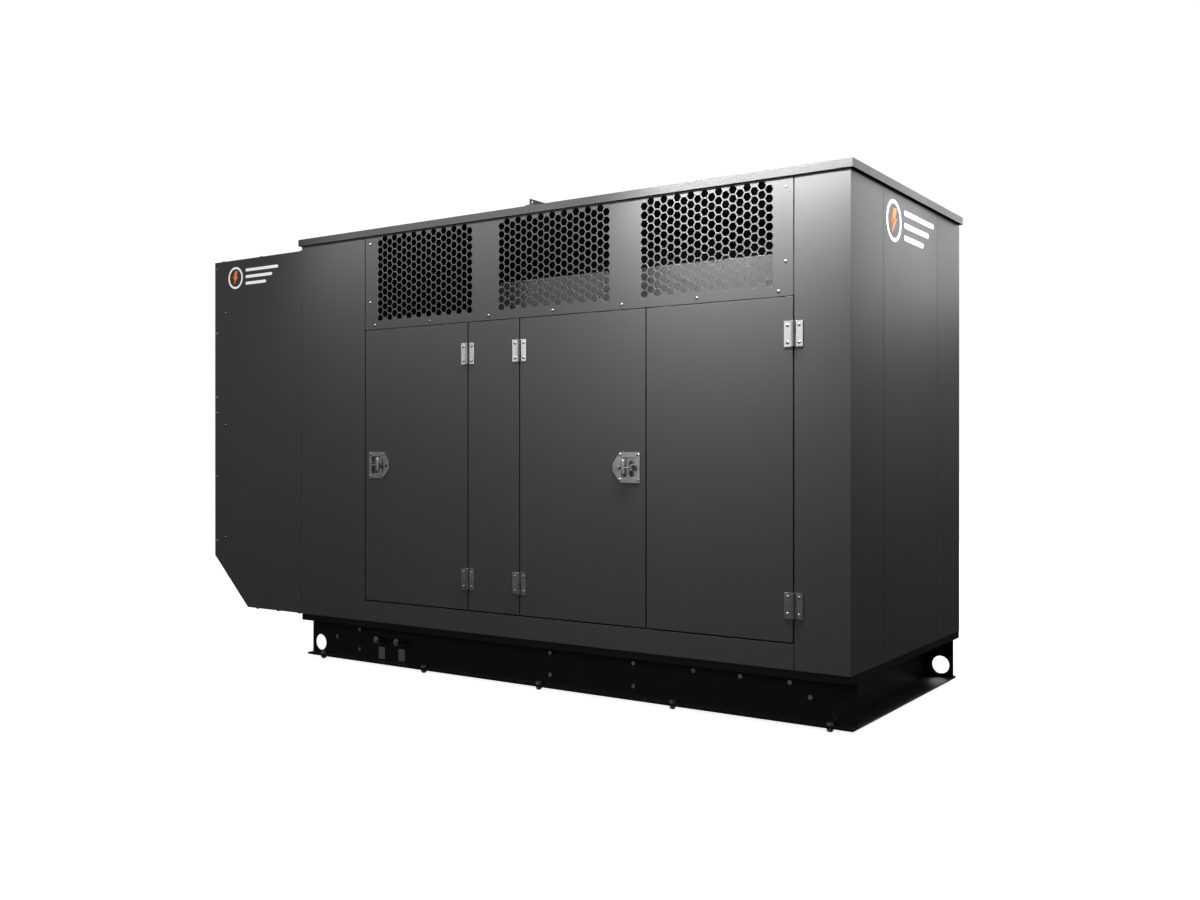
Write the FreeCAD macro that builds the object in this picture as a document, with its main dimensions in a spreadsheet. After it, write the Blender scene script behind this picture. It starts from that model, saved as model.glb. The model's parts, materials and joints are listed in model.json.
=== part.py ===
import FreeCAD, Part
import math
import operator
import os
import Sketcher

# An outdoor standby generator in a weather enclosure, standing on a channel base.
# +X points to the plain end, -Y is the side with the three doors, +Z is up.
# The origin is the middle of the four anchor holes, on the underside of the base flanges.

SIZES = {
    # enclosure
    "length": 2324, "depth": 1031, "height": 1500, "base_height": 166,
    "skin": 2, "seam": 5, "overhang": 10, "fascia": 26,
    "corner_width": 179.6, "door_width": 517.5, "post_width": 234.9,
    "sill_height": 79.5, "vent_height": 357, "end_corner_front": 262, "end_corner_rear": 250,
    "roof_rib_height": 23, "roof_rib_width": 40, "roof_rib_skin": 3,
    "eye_radius": 5, "eye_from_end": 14, "eye_drop": 9,
    # discharge hood
    "hood_length": 544.5, "hood_height": 1457, "hood_cut_long": 213.6, "hood_cut_high": 207,
    "hood_flange": 40, "hood_joint": 3, "grille_bar": 6, "grille_pitch": 60, "grille_depth": 30,
    "hood_fold": 28, "hood_gap": 0.5,
    # vent holes
    "hex_across": 24.2, "hex_pitch": 28.5, "hex_columns": 19, "hex_rows": 11,
    "field_pitch": 591.6, "hex_rise": 41.5,
    # screws
    "screw_head": 5.2, "screw_dome": 2.6, "screw_shank": 2.4, "screw_hole": 2.6,
    "vent_screw_side": 26, "vent_screw_low": 16, "vent_screw_end": 50, "vent_screw_count": 7,
    "vent_screw_first": 104, "vent_screw_second": 328,
    "hood_screw_edge": 14.5, "hood_screw_inner": 70.5,
    "rear_screw_side": 25, "rear_screw_end": 30,
    # door frame and doors
    "frame_sheet": 2.5, "frame_depth": 85, "stop_lip": 15, "header_flange": 30,
    "door_depth": 40, "door_sheet": 2, "door_lip": 15,
    "seal_gap": 0.3, "seal_thick": 4.7, "seal_width": 11,
    # hinges
    "hinge_tall": 77, "leaf_wide": 30.5, "leaf_thick": 2.5, "knuckle_radius": 5.8,
    "hinge_reach": 6, "pin_radius": 3, "pin_clearance": 0.08, "leaf_clearance": 0.6,
    "hinge_low": 112.5, "hinge_high": 923.5, "hinge_screw_wide": 37.6, "hinge_screw_tall": 52,
    # door latches
    "latch_rise": 520, "latch_inset": 44, "plate_tall": 100, "plate_wide": 77, "plate_nose": 28,
    "plate_thick": 2.5, "hub_inset": 24, "dish_wide": 57, "dish_tall": 69, "dish_depth": 12,
    "hub_radius": 11, "spindle_radius": 8, "spindle_clearance": 0.1, "lock_inset": 85.6,
    "lock_radius": 7.5, "lock_proud": 5, "pivot_proud": 14, "ear_thick": 4, "stem_wide": 8,
    "stem_thick": 6, "cross_pin": 2, "grip_start": 22, "grip_wide": 20, "grip_tall": 60,
    "grip_thick": 9, "cam_reach": 60, "cam_wide": 18, "cam_thick": 4, "cam_gap": 1.5,
    # slide bolts of the door without a latch
    "bolt_radius": 6, "bolt_clearance": 0.5, "bolt_inset": 40, "bolt_length": 150,
    "bolt_setback": 3, "bolt_travel": 22, "bolt_set_in": 22, "guide_tall": 14,
    "guide_half": 11, "guide_end": 25, "guide_apart": 63, "knob_inset": 12, "keeper_half": 40,
    # base
    "rail_inset": 55.6, "rail_web": 6, "rail_flange": 28, "flange_thick": 8,
    "lift_radius": 31.75, "lift_from_end": 49, "lift_height": 48,
    "anchor_radius": 7, "anchor_from_end": 170, "tray_sheet": 3, "tray_lip": 25, "tray_inset": 1,
    "end_gap": 0.5, "end_bolt": 149,
    "cross_from_end": 104, "cross_flange": 40, "cross_height": 120, "cross_sheet": 5,
    "cross_left": -888, "cross_middle": 41, "cross_right": 384,
    "stub_long": 420, "stub_wide": 300, "stub_from_end": 300,
    "hold_from_end": 82, "hold_head": 11, "hold_head_high": 9, "hold_shank": 5.8, "hold_hole": 6,
    "hold_tip": 12,
    "web_bolt_head": 8, "web_bolt_high": 5, "web_bolt_low": 42, "web_bolt_apart": 76,
    "tray_bolt_first": 611, "tray_bolt_pitch": 167.5, "tray_bolt_count": 3,
    "drain_radius": 13, "drain_reach": 45,
    "drain_height": 94, "drain_spacing": 105, "drain_from_end": 399,
    "tag_wide": 33, "tag_tall": 46, "tag_drop": 33, "tag_offset": 25,
    # engine, alternator and cooling
    "crank_rise": 430, "journal_radius": 35, "running_gap": 0.08, "block_long": 550,
    "block_wide": 300, "block_low": 150, "block_high": 170, "sump_drop": 120, "sump_wide": 220,
    "head_high": 160, "head_share": 0.55, "head_wide": 260, "flywheel_radius": 180, "housing_radius": 215,
    "housing_long": 120, "casing_radius": 230, "casing_wall": 30, "casing_long": 540,
    "flywheel_gap": 15, "flywheel_thick": 55, "rotor_gap": 70, "rotor_end": 120, "stator_gap": 10,
    "stator_start": 55, "stator_end": 105, "bell_thick": 30, "housing_wall": 22, "tail_past": 6,
    "rotor_radius": 150, "tail_radius": 25, "block_from_end": 282, "crank_pulley": 90,
    "fan_pulley": 75, "pulley_wide": 25, "belt_thick": 8, "belt_gap": 0.3, "fan_rise": 230,
    "fan_radius": 300, "fan_hub": 60, "fan_blades": 8, "fan_wide": 50, "fan_spindle": 15,
    "fan_neck": 35, "fan_neck_long": 22, "blade_thick": 4, "blade_wide": 96, "blade_pitch": 62,
    "shroud_gap": 10, "shroud_sheet": 3, "shroud_depth": 92, "shroud_tall": 690, "shroud_margin": 20,
    "radiator_deep": 95,
    "radiator_wide": 800, "core_inset": 12, "radiator_tall": 1190, "tank_tall": 90, "side_plate": 8,
    "window_side": 30, "window_end": 20, "cap_radius": 32, "neck_high": 14, "rim_high": 10, "wing_half": 8,
    "bulkhead_sheet": 3, "mount_radius": 42, "mount_tall": 60, "mount_spread": 520,
    "mount_front": 110, "mount_rear": 140, "foot_sheet": 14, "foot_half": 45, "tread_sheet": 12,
    "tread_past_mount": 46, "silencer_radius": 95, "silencer_long": 760, "silencer_rise": 1300,
    "silencer_back": 190,
    "exhaust_radius": 38, "exhaust_wall": 3, "exhaust_bend": 75, "exhaust_rise": 200,
    "cleaner_radius": 100, "cleaner_long": 340, "cleaner_cap": 30, "cleaner_rim": 6, "cleaner_gap": 20,
    "hose_radius": 24, "baffle_tall": 140, "baffle_sheet": 2,
    "baffle_hang": 200, "baffle_from_rear": 195,
    # electrics and fuel
    "battery_long": 260, "battery_wide": 175, "battery_tall": 225, "battery_gap": 8,
    "battery_shift": 80, "post_radius": 9, "post_high": 16, "post_inset": 35, "control_long": 420,
    "control_deep": 200, "control_tall": 360, "control_rise": 760, "control_setback": 130,
    "control_sheet": 3, "control_gap": 15, "post_half": 15, "post_deep": 40,
    "stop_button": 20, "stop_stem": 9, "stop_travel": 6, "stop_inset": 60, "stop_drop": 70,
    "breaker_wide": 22, "breaker_long": 46, "breaker_side": 14, "breaker_half": 55, "breaker_slot": 32,
    "breaker_proud": 24, "breaker_axle": 14, "toggle_pin": 3,
    "fuel_bore": 24, "fuel_outer": 34, "fuel_rise": 190, "fuel_from_end": 420, "fuel_length": 60,
    "fuel_proud": 12, "fuel_blank": 2, "regulator_half": 55, "regulator_deep": 100, "regulator_foot": 20,
    "dome_radius": 50, "dome_tall": 30, "fuel_line": 17, "fuel_bend": 60,
}

doc = FreeCAD.newDocument("StandbyGenerator")
sheet = doc.addObject("Spreadsheet::Sheet", "Sizes")
for row, (alias, amount) in enumerate(SIZES.items(), 1):
    sheet.set(f"A{row}", alias)
    sheet.set(f"B{row}", str(amount))
    sheet.setAlias(f"B{row}", alias)
doc.recompute()

SIGNS = {"+": operator.add, "-": operator.sub, "*": operator.mul, "/": operator.truediv}


class Size:
    """A length held twice: as a formula on the sheet and as the number that it gives now."""

    def __init__(self, formula, number):
        self.formula = formula
        self.number = number

    def __add__(self, other):
        return combine(self, "+", other)

    def __radd__(self, other):
        return combine(other, "+", self)

    def __sub__(self, other):
        return combine(self, "-", other)

    def __rsub__(self, other):
        return combine(other, "-", self)

    def __mul__(self, other):
        return combine(self, "*", other)

    def __rmul__(self, other):
        return combine(other, "*", self)

    def __truediv__(self, other):
        return combine(self, "/", other)

    def __neg__(self):
        return combine(0, "-", self)


def sized(value):
    if isinstance(value, Size):
        return value
    return Size(f"({float(value)})", float(value))


def combine(left, sign, right):
    left = sized(left)
    right = sized(right)
    return Size(f"({left.formula} {sign} {right.formula})", SIGNS[sign](left.number, right.number))


class SheetSizes:
    """Reads a cell by its alias, as a Size."""

    def __getattr__(self, alias):
        return Size("Sizes." + alias, float(getattr(sheet, alias)))


S = SheetSizes()

# ---------------------------------------------------------------- places that many pieces share
x_right = S.length / 2
x_left = -x_right
x_hood = x_left - S.hood_length
y_front = -S.depth / 2
y_rear = S.depth / 2
z_floor = S.base_height
z_top = z_floor + S.height
z_under_roof = z_top - S.skin
z_eave = z_top - S.fascia
half_seam = S.seam / 2
edge_right = x_right - S.corner_width
edge_meeting = edge_right - S.door_width
edge_post_right = edge_meeting - S.door_width
edge_post_left = edge_post_right - S.post_width
edge_left = edge_post_left - S.door_width
z_sill = z_floor + S.sill_height
z_lintel = z_eave - S.vent_height
crank_z = z_floor + S.crank_rise
fan_z = crank_z + S.fan_rise
hinge_y = y_front - S.hinge_reach

PIECES = []
TURNS = {
    "x": FreeCAD.Rotation(FreeCAD.Vector(0, 1, 0), 90),
    "y": FreeCAD.Rotation(FreeCAD.Vector(1, 0, 0), -90),
    "z": FreeCAD.Rotation(),
}


# ---------------------------------------------------------------- ways of making a solid
def piece(label, solid):
    """Name a finished sub-part and keep it for the export."""
    solid.Label = label
    PIECES.append(solid)
    return solid


def block(x_span, y_span, z_span):
    """A rectangular block between a low and a high place on each axis."""
    box = doc.addObject("Part::Box", "Block")
    spans = (("Length", "x", x_span), ("Width", "y", y_span), ("Height", "z", z_span))
    for side, axis, (low, high) in spans:
        low = sized(low)
        box.setExpression(side, (sized(high) - low).formula)
        box.setExpression("Placement.Base." + axis, low.formula)
    return box


def rod(axis, radius, low, high, first, second):
    """A round bar along one axis; first and second are its places on the other two axes."""
    bar = doc.addObject("Part::Cylinder", "Rod")
    low = sized(low)
    places = [sized(first), sized(second)]
    places.insert("xyz".index(axis), low)
    bar.setExpression("Radius", sized(radius).formula)
    bar.setExpression("Height", (sized(high) - low).formula)
    bar.Placement = FreeCAD.Placement(FreeCAD.Vector(), TURNS[axis])
    for name, place in zip("xyz", places):
        bar.setExpression("Placement.Base." + name, place.formula)
    return bar


def fused(*solids):
    joined = doc.addObject("Part::MultiFuse", "Joined")
    joined.Shapes = list(solids)
    return joined


def cut(base, *tools):
    result = doc.addObject("Part::Cut", "Cut")
    result.Base = base
    result.Tool = tools[0] if len(tools) == 1 else fused(*tools)
    return result


def group(*solids):
    gathered = doc.addObject("Part::Compound", "Group")
    gathered.Links = list(solids)
    return gathered


def held(sketch, kind, geometry, point, value):
    """Hold one coordinate of a sketch point to a size on the sheet."""
    number = sketch.addConstraint(Sketcher.Constraint(kind, -1, 1, geometry, point, value.number))
    sketch.setExpression(f"Constraints[{number}]", value.formula)


def new_sketch(body, role, offset):
    """A sketch on one of the body's own origin planes, moved along the plane's normal."""
    plane = next(feature for feature in body.Origin.OriginFeatures if feature.Role == role)
    sketch = body.newObject("Sketcher::SketchObject", "Outline")
    sketch.AttachmentSupport = (plane, [""])
    sketch.MapMode = "FlatFace"
    sketch.setExpression("AttachmentOffset.Base.z", sized(offset).formula)
    return sketch


def draw_outline(sketch, corners):
    """A closed straight-sided outline, each corner held by its two coordinates."""
    corners = [(sized(u), sized(v)) for u, v in corners]
    points = [FreeCAD.Vector(u.number, v.number, 0) for u, v in corners]
    first = sketch.GeometryCount
    for start, end in zip(points, points[1:] + points[:1]):
        sketch.addGeometry(Part.LineSegment(start, end), False)
    for index, (u, v) in enumerate(corners):
        follower = first + (index + 1) % len(corners)
        sketch.addConstraint(Sketcher.Constraint("Coincident", first + index, 2, follower, 1))
        held(sketch, "DistanceX", first + index, 1, u)
        held(sketch, "DistanceY", first + index, 1, v)


def draw_circle(sketch, u, v, radius):
    u, v, radius = sized(u), sized(v), sized(radius)
    centre = FreeCAD.Vector(u.number, v.number, 0)
    circle = Part.Circle(centre, FreeCAD.Vector(0, 0, 1), radius.number)
    index = sketch.addGeometry(circle, False)
    number = sketch.addConstraint(Sketcher.Constraint("Radius", index, radius.number))
    sketch.setExpression(f"Constraints[{number}]", radius.formula)
    held(sketch, "DistanceX", index, 3, u)
    held(sketch, "DistanceY", index, 3, v)


def plate(role, corners, low, high, holes=()):
    """A flat outline with round holes, padded from low to high along the plane's axis."""
    body = doc.addObject("PartDesign::Body", "Plate")
    low, high = sized(low), sized(high)
    offset = -high if role == "XZ_Plane" else low
    sketch = new_sketch(body, role, offset)
    draw_outline(sketch, corners)
    for u, v, radius in holes:
        draw_circle(sketch, u, v, radius)
    pad = body.newObject("PartDesign::Pad", "Pad")
    pad.Profile = sketch
    pad.setExpression("Length", (high - low).formula)
    return body


def turned(corners, height):
    """A shape turned about the X direction at a height; corners are (place along X, radius)."""
    body = doc.addObject("PartDesign::Body", "Turned")
    sketch = new_sketch(body, "XZ_Plane", 0)
    draw_outline(sketch, corners)
    turn = body.newObject("PartDesign::Revolution", "Turn")
    turn.Profile = sketch
    turn.ReferenceAxis = (sketch, ["H_Axis"])
    turn.Angle = 360
    body.setExpression("Placement.Base.z", sized(height).formula)
    return body


def made(shape):
    """A feature for a shape that only Part's own functions can give."""
    feature = doc.addObject("Part::Feature", "Made")
    feature.Shape = shape
    return feature


def rectangle(u_span, v_span):
    (left, right), (low, high) = u_span, v_span
    return [(left, low), (right, low), (right, high), (left, high)]


def pipe_shape(points, radius, bend):
    """A round bar along straight runs that tangent arcs of one bend radius join."""
    points = [FreeCAD.Vector(*(sized(value).number for value in point)) for point in points]
    radius = sized(radius).number
    bend = sized(bend).number
    edges = []
    start = points[0]
    for before, corner, after in zip(points, points[1:], points[2:]):
        inward = (before - corner).normalize()
        onward = (after - corner).normalize()
        half = inward.getAngle(onward) / 2
        reach = bend / math.tan(half)
        middle = corner + (inward + onward).normalize() * (bend / math.sin(half) - bend)
        edges.append(Part.LineSegment(start, corner + inward * reach).toShape())
        edges.append(Part.Arc(corner + inward * reach, middle, corner + onward * reach).toShape())
        start = corner + onward * reach
    edges.append(Part.LineSegment(start, points[-1]).toShape())
    path = Part.Wire(edges)
    ring = Part.Wire(Part.Circle(points[0], points[1] - points[0], radius).toShape())
    return path.makePipeShell([ring], True, False)


def vector(*values):
    return FreeCAD.Vector(*(sized(value).number for value in values))


def sorted_span(first, second):
    return (first, second) if first.number < second.number else (second, first)


# ---------------------------------------------------------------- base
def base_rail(label, side):
    """An outward-facing channel; side is -1 at the front and +1 at the rear."""
    web_out = side * (S.depth / 2 - S.rail_inset)
    web_in = web_out - side * S.rail_web
    lip = web_out + side * S.rail_flange
    top = z_floor - S.tray_sheet
    profile = [(lip, 0), (web_in, 0), (web_in, top), (lip, top), (lip, top - S.flange_thick),
               (web_out, top - S.flange_thick), (web_out, S.flange_thick), (lip, S.flange_thick)]
    reach = x_right - S.tray_inset - S.tray_sheet - S.end_gap
    channel = plate("YZ_Plane", profile, -reach, reach)
    low, high = (web_out, web_in) if side < 0 else (web_in, web_out)
    holes = []
    for end in (-1, 1):
        along = end * (x_right - S.lift_from_end)
        holes.append(rod("y", S.lift_radius, low - 1, high + 1, along, S.lift_height))
        along = end * (x_right - S.anchor_from_end)
        holes.append(rod("z", S.anchor_radius, -1, S.flange_thick + 1, along, anchor_y(side)))
    for along in hold_places():
        holes.append(rod("z", S.hold_hole, -1, S.flange_thick + 1, along, anchor_y(side)))
    return piece(label, cut(channel, *holes))


def anchor_y(side):
    return side * (S.depth / 2 - S.rail_inset + S.rail_flange / 2)


def hold_places():
    """Five bolts along each flange, the end ones nearest the rail ends."""
    reach = x_right - S.hold_from_end
    return [-reach, -reach / 2, sized(0), reach / 2, reach]


def cross_places():
    """Middles along X of the channels under the tray, between the two end members."""
    return (S.cross_left, S.cross_middle, S.cross_right)


def base_cross_members():
    """Channels between the rails: three under the tray, and one at each end that opens outwards."""
    inner = S.depth / 2 - S.rail_inset - S.rail_web
    top = z_floor - S.tray_sheet
    sheet = S.cross_sheet
    members = []
    for middle in cross_places():
        low = middle - S.cross_flange / 2
        high = middle + S.cross_flange / 2
        bottom = top - S.cross_height
        upright = block((high - sheet, high), (-inner, inner), (bottom, top))
        upper = block((low, high - sheet), (-inner, inner), (top - sheet, top))
        lower = block((low, high - sheet), (-inner, inner), (bottom, bottom + sheet))
        members.append(fused(upright, upper, lower))
    web = x_right - S.cross_from_end
    tip = x_right - S.tray_inset - S.tray_sheet - S.end_gap
    for side in (-1, 1):
        thick = sorted_span(side * (web - sheet), side * web)
        reach = sorted_span(side * web, side * tip)
        members.append(fused(block(thick, (-inner, inner), (0, top)),
                             block(reach, (-inner, inner), (top - sheet, top)),
                             block(reach, (-inner, inner), (0, sheet))))
    return piece("base_cross_members", group(*members))


def stub_span():
    """The open patch in the tray where pipes and conduit come up, along X and Y."""
    high = x_right - S.stub_from_end
    return (high - S.stub_long, high), (-S.stub_wide / 2, S.stub_wide / 2)


def base_tray():
    """A folded tray with a hanging lip all round and an opening for pipes and conduit."""
    out_x = x_right - S.tray_inset
    out_y = y_rear - S.tray_inset
    tray = block((-out_x, out_x), (-out_y, out_y), (z_floor - S.tray_lip, z_floor))
    in_x = out_x - S.tray_sheet
    in_y = out_y - S.tray_sheet
    hollow_top = z_floor - S.tray_sheet
    hollow = block((-in_x, in_x), (-in_y, in_y), (z_floor - S.tray_lip - 1, hollow_top))
    along, across = stub_span()
    opening = block(along, across, (hollow_top - 1, z_floor + 1))
    return piece("base_tray", cut(tray, hollow, opening))


def bolt_shape(place, direction, head, high, shank=None, reach=None, nut=None):
    """A hexagon head standing on a face; where it has a nut, its shank runs back through the face."""
    place = vector(*place)
    way = FreeCAD.Vector(*direction)
    turn = FreeCAD.Rotation(FreeCAD.Vector(0, 0, 1), way)
    corners = []
    for step in range(7):
        angle = math.radians(60 * step)
        corners.append(FreeCAD.Vector(head.number * math.cos(angle), head.number * math.sin(angle), 0))
    hexagon = Part.Face(Part.makePolygon(corners))
    bolt = hexagon.extrude(FreeCAD.Vector(0, 0, high.number))
    if nut is not None:
        stem = Part.makeCylinder(shank.number, reach.number, FreeCAD.Vector(0, 0, -reach.number))
        bolt = bolt.fuse(stem)
        lower = hexagon.copy()
        lower.translate(FreeCAD.Vector(0, 0, -nut.number - high.number))
        bolt = bolt.fuse(lower.extrude(FreeCAD.Vector(0, 0, high.number)))
    bolt.Placement = FreeCAD.Placement(place, turn)
    return bolt


def web_bolt_places():
    """Pairs at the inner channels, one near each end, and a row that holds the tray."""
    high = S.web_bolt_low + S.web_bolt_apart
    spots = [(along, height) for along in cross_places() for height in (S.web_bolt_low, high)]
    end = x_right - S.end_bolt
    spots += [(along, S.web_bolt_low + S.web_bolt_apart / 2) for along in (-end, end)]
    for number in range(int(S.tray_bolt_count.number)):
        spots.append((S.tray_bolt_first + S.tray_bolt_pitch * number, high))
    return spots


def base_bolts():
    """Hold-down bolts with nuts in the flanges, and bolts through the rails into cross members."""
    bolts = []
    for side in (-1, 1):
        for along in hold_places():
            spot = (along, anchor_y(side), S.flange_thick)
            reach = S.flange_thick + S.hold_tip
            bolts.append(bolt_shape(spot, (0, 0, 1), S.hold_head, S.hold_head_high,
                                    S.hold_shank, reach, S.flange_thick))
        face = side * (S.depth / 2 - S.rail_inset)
        for along, height in web_bolt_places():
            bolts.append(bolt_shape((along, face, height), (0, side, 0), S.web_bolt_head,
                                    S.web_bolt_high))
    return piece("base_bolts", made(Part.makeCompound(bolts)))


def drain_fittings():
    """Two drain stubs with hexagon caps through the front rail, and a blank tag under each."""
    face = y_front + S.rail_inset
    solids = []
    for number in range(2):
        along = x_left + S.drain_from_end + number * S.drain_spacing
        stub = rod("y", S.drain_radius * 0.7, face - S.drain_reach, face, along, S.drain_height)
        collar = rod("y", S.drain_radius, face - S.drain_reach * 0.9, face - S.drain_reach * 0.5,
                     along, S.drain_height)
        solids.append(fused(stub, collar))
        low = S.drain_height - S.tag_drop - S.tag_tall
        left = along - S.tag_offset
        tag = block((left, left + S.tag_wide), (face - 1, face), (low, low + S.tag_tall))
        solids.append(tag)
    return piece("drain_fittings", group(*solids))


# ---------------------------------------------------------------- enclosure skins
def hinge_heights():
    return (z_sill + S.hinge_low, z_sill + S.hinge_high)


def hinge_screw_spots(edge, side):
    """Screw places (along X, height) of the leaves on one side of a hinge line."""
    along = edge + side * S.hinge_screw_wide / 2
    spots = []
    for middle in hinge_heights():
        spots.append((along, middle - S.hinge_screw_tall / 2))
        spots.append((along, middle + S.hinge_screw_tall / 2))
    return spots


def drilled(solid, spots, axis="y", low=None, high=None, radius=None):
    """The solid with a round hole through it at each spot."""
    low = y_front - 1 if low is None else low
    high = y_front + S.skin + 1 if high is None else high
    radius = S.screw_hole if radius is None else radius
    return cut(solid, *(rod(axis, radius, low, high, u, v) for u, v in spots))


def front_right_corner_panel():
    inner = edge_right + half_seam
    back = y_front + S.end_corner_front - half_seam / 2
    outline = [(inner, y_front), (x_right, y_front), (x_right, back), (x_right - S.skin, back),
               (x_right - S.skin, y_front + S.skin), (inner, y_front + S.skin)]
    bent = plate("XY_Plane", outline, z_floor, z_under_roof)
    return piece("front_right_corner_panel", drilled(bent, hinge_screw_spots(edge_right, 1)))


def front_left_corner_panel():
    flat = block((x_left, edge_left - half_seam), (y_front, y_front + S.skin), (z_floor, z_under_roof))
    return piece("front_left_corner_panel", flat)


def front_centre_post():
    span = (edge_post_left + half_seam, edge_post_right - half_seam)
    height = (z_sill + half_seam, z_lintel - half_seam)
    flat = block(span, (y_front, y_front + S.skin), height)
    spots = hinge_screw_spots(edge_post_left, 1) + hinge_screw_spots(edge_post_right, -1)
    return piece("front_centre_post", drilled(flat, spots))


def front_sill():
    span = (edge_left - half_seam, edge_right)
    return piece("front_sill", block(span, (y_front, y_front + S.skin), (z_floor, z_sill - half_seam)))


def vent_screw_spots():
    """Screws along the bottom and up the two sides of a vent panel."""
    count = int(S.vent_screw_count.number)
    first = edge_left + S.vent_screw_end
    step = (edge_right - edge_left - 2 * S.vent_screw_end) / (count - 1)
    spots = [(first + step * number, z_lintel + S.vent_screw_low) for number in range(count)]
    for along in (edge_left + S.vent_screw_side, edge_right - S.vent_screw_side):
        for rise in (S.vent_screw_first, S.vent_screw_second):
            spots.append((along, z_lintel + rise))
    return spots


def hexagon_wire(x, z, corner):
    """A closed hexagon in the XZ plane, flat at top and bottom, wound the way a hole needs."""
    points = []
    for step in range(7):
        angle = math.radians(-60 * step)
        points.append(FreeCAD.Vector(x + corner * math.cos(angle), 0, z + corner * math.sin(angle)))
    return Part.makePolygon(points)


def vent_sheet():
    """A sheet with three fields of hexagonal holes in staggered columns, its outer face at Y = 0."""
    corner = S.hex_across.number / math.sqrt(3)
    pitch = S.hex_pitch.number
    column_pitch = pitch * math.sin(math.radians(60))
    columns = int(S.hex_columns.number)
    rows = int(S.hex_rows.number)
    middle = ((edge_left + edge_right) / 2).number
    low = z_lintel.number
    rim = rectangle((edge_left + half_seam / 2, edge_right - half_seam / 2), (z_lintel, z_under_roof))
    rim.append(rim[0])
    outline = Part.makePolygon([vector(x, 0, z) for x, z in rim])
    holes = []
    for field in (-1, 0, 1):
        centre = middle + field * S.field_pitch.number
        for column in range(columns):
            x = centre + (column - (columns - 1) / 2) * column_pitch
            lift = pitch / 2 if column % 2 else 0
            for line in range(rows):
                holes.append(hexagon_wire(x, low + S.hex_rise.number + line * pitch + lift, corner))
    for x, z in vent_screw_spots():
        ring = Part.Circle(vector(x, 0, z), FreeCAD.Vector(0, 1, 0), S.screw_hole.number)
        holes.append(Part.Wire(ring.toShape()))
    face = Part.Face([outline] + holes)
    return face.extrude(vector(0, S.skin, 0))


def vent_panels():
    """The same sheet at the front and at the rear."""
    sheet_shape = vent_sheet()
    for label, level in (("front_vent_panel", y_front), ("rear_vent_panel", y_rear - S.skin)):
        panel = made(sheet_shape)
        panel.setExpression("Placement.Base.y", level.formula)
        piece(label, panel)


stop_depth = S.door_depth + S.seal_gap + S.seal_thick


def front_door_frame():
    """The welded frame behind the skins: header, sill, four jambs, and the stop lips of the doors."""
    front = y_front + S.skin
    back = y_front + S.frame_depth
    stop = (y_front + stop_depth, y_front + stop_depth + S.frame_sheet)
    low = z_sill - half_seam
    high = z_lintel + half_seam
    wide = (edge_left - half_seam - S.frame_sheet, edge_right + half_seam + S.frame_sheet)
    walls = [
        block(wide, (front, back), (low - S.frame_sheet, low)),
        block(wide, (front, back), (high, high + S.frame_sheet)),
        block(wide, (front, front + S.frame_sheet), (high, high + S.header_flange)),
        block(wide, (back - S.frame_sheet, back), (z_floor, low)),
    ]
    jambs = ((edge_left, 1), (edge_post_left, -1), (edge_post_right, 1), (edge_right, -1))
    for edge, inward in jambs:
        face = edge - inward * half_seam
        outer = face - inward * S.frame_sheet
        tip = face + inward * S.stop_lip
        span = (outer, face) if inward > 0 else (face, outer)
        lip = (outer, tip) if inward > 0 else (tip, outer)
        walls.append(block(span, (front, back), (low - S.frame_sheet, high + S.frame_sheet)))
        walls.append(block(lip, stop, (low, high)))
    openings = ((edge_left, edge_post_left), (edge_post_right, edge_right))
    for left, right in openings:
        span = (left - half_seam, right + half_seam)
        walls.append(block(span, stop, (low, low + S.stop_lip)))
        walls.append(block(span, stop, (high - S.stop_lip, high)))
    along = slide_bolt_x()
    depth = y_front + S.bolt_set_in
    hole = S.bolt_radius + S.bolt_clearance
    holes = [rod("z", hole, low - S.frame_sheet - 1, low + 1, along, depth),
             rod("z", hole, high - 1, high + S.frame_sheet + 1, along, depth)]
    cam_low = y_front + stop_depth + S.frame_sheet
    cam_high = cam_low + 2 * S.cam_gap + S.cam_thick
    hub_z = latch_hub(edge_left, 1)[1]
    holes.append(block((edge_left - half_seam - S.frame_sheet - 1, edge_left - half_seam + 1),
                       (cam_low, cam_high), (hub_z - S.cam_wide / 2 - 2, hub_z + S.cam_reach)))
    spots = vent_screw_spots()[:int(S.vent_screw_count.number)]
    holes += [rod("y", S.screw_hole, front - 1, front + S.frame_sheet + 1, u, v) for u, v in spots]
    return piece("front_door_frame", cut(fused(*walls), *holes))


def door_seals():
    """A rubber strip on the stop lips, round each door opening."""
    near = y_front + S.door_depth + S.seal_gap
    far = y_front + stop_depth
    low = z_sill - half_seam + 1
    high = z_lintel + half_seam - 1
    rings = []
    for left, right in ((edge_left, edge_post_left), (edge_post_right, edge_right)):
        span = (left - half_seam + 1, right + half_seam - 1)
        inner = (span[0] + S.seal_width, span[1] - S.seal_width)
        whole = block(span, (near, far), (low, high))
        hollow = block(inner, (near - 1, far + 1), (low + S.seal_width, high - S.seal_width))
        rings.append(cut(whole, hollow))
    return piece("door_seals", group(*rings))


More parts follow.
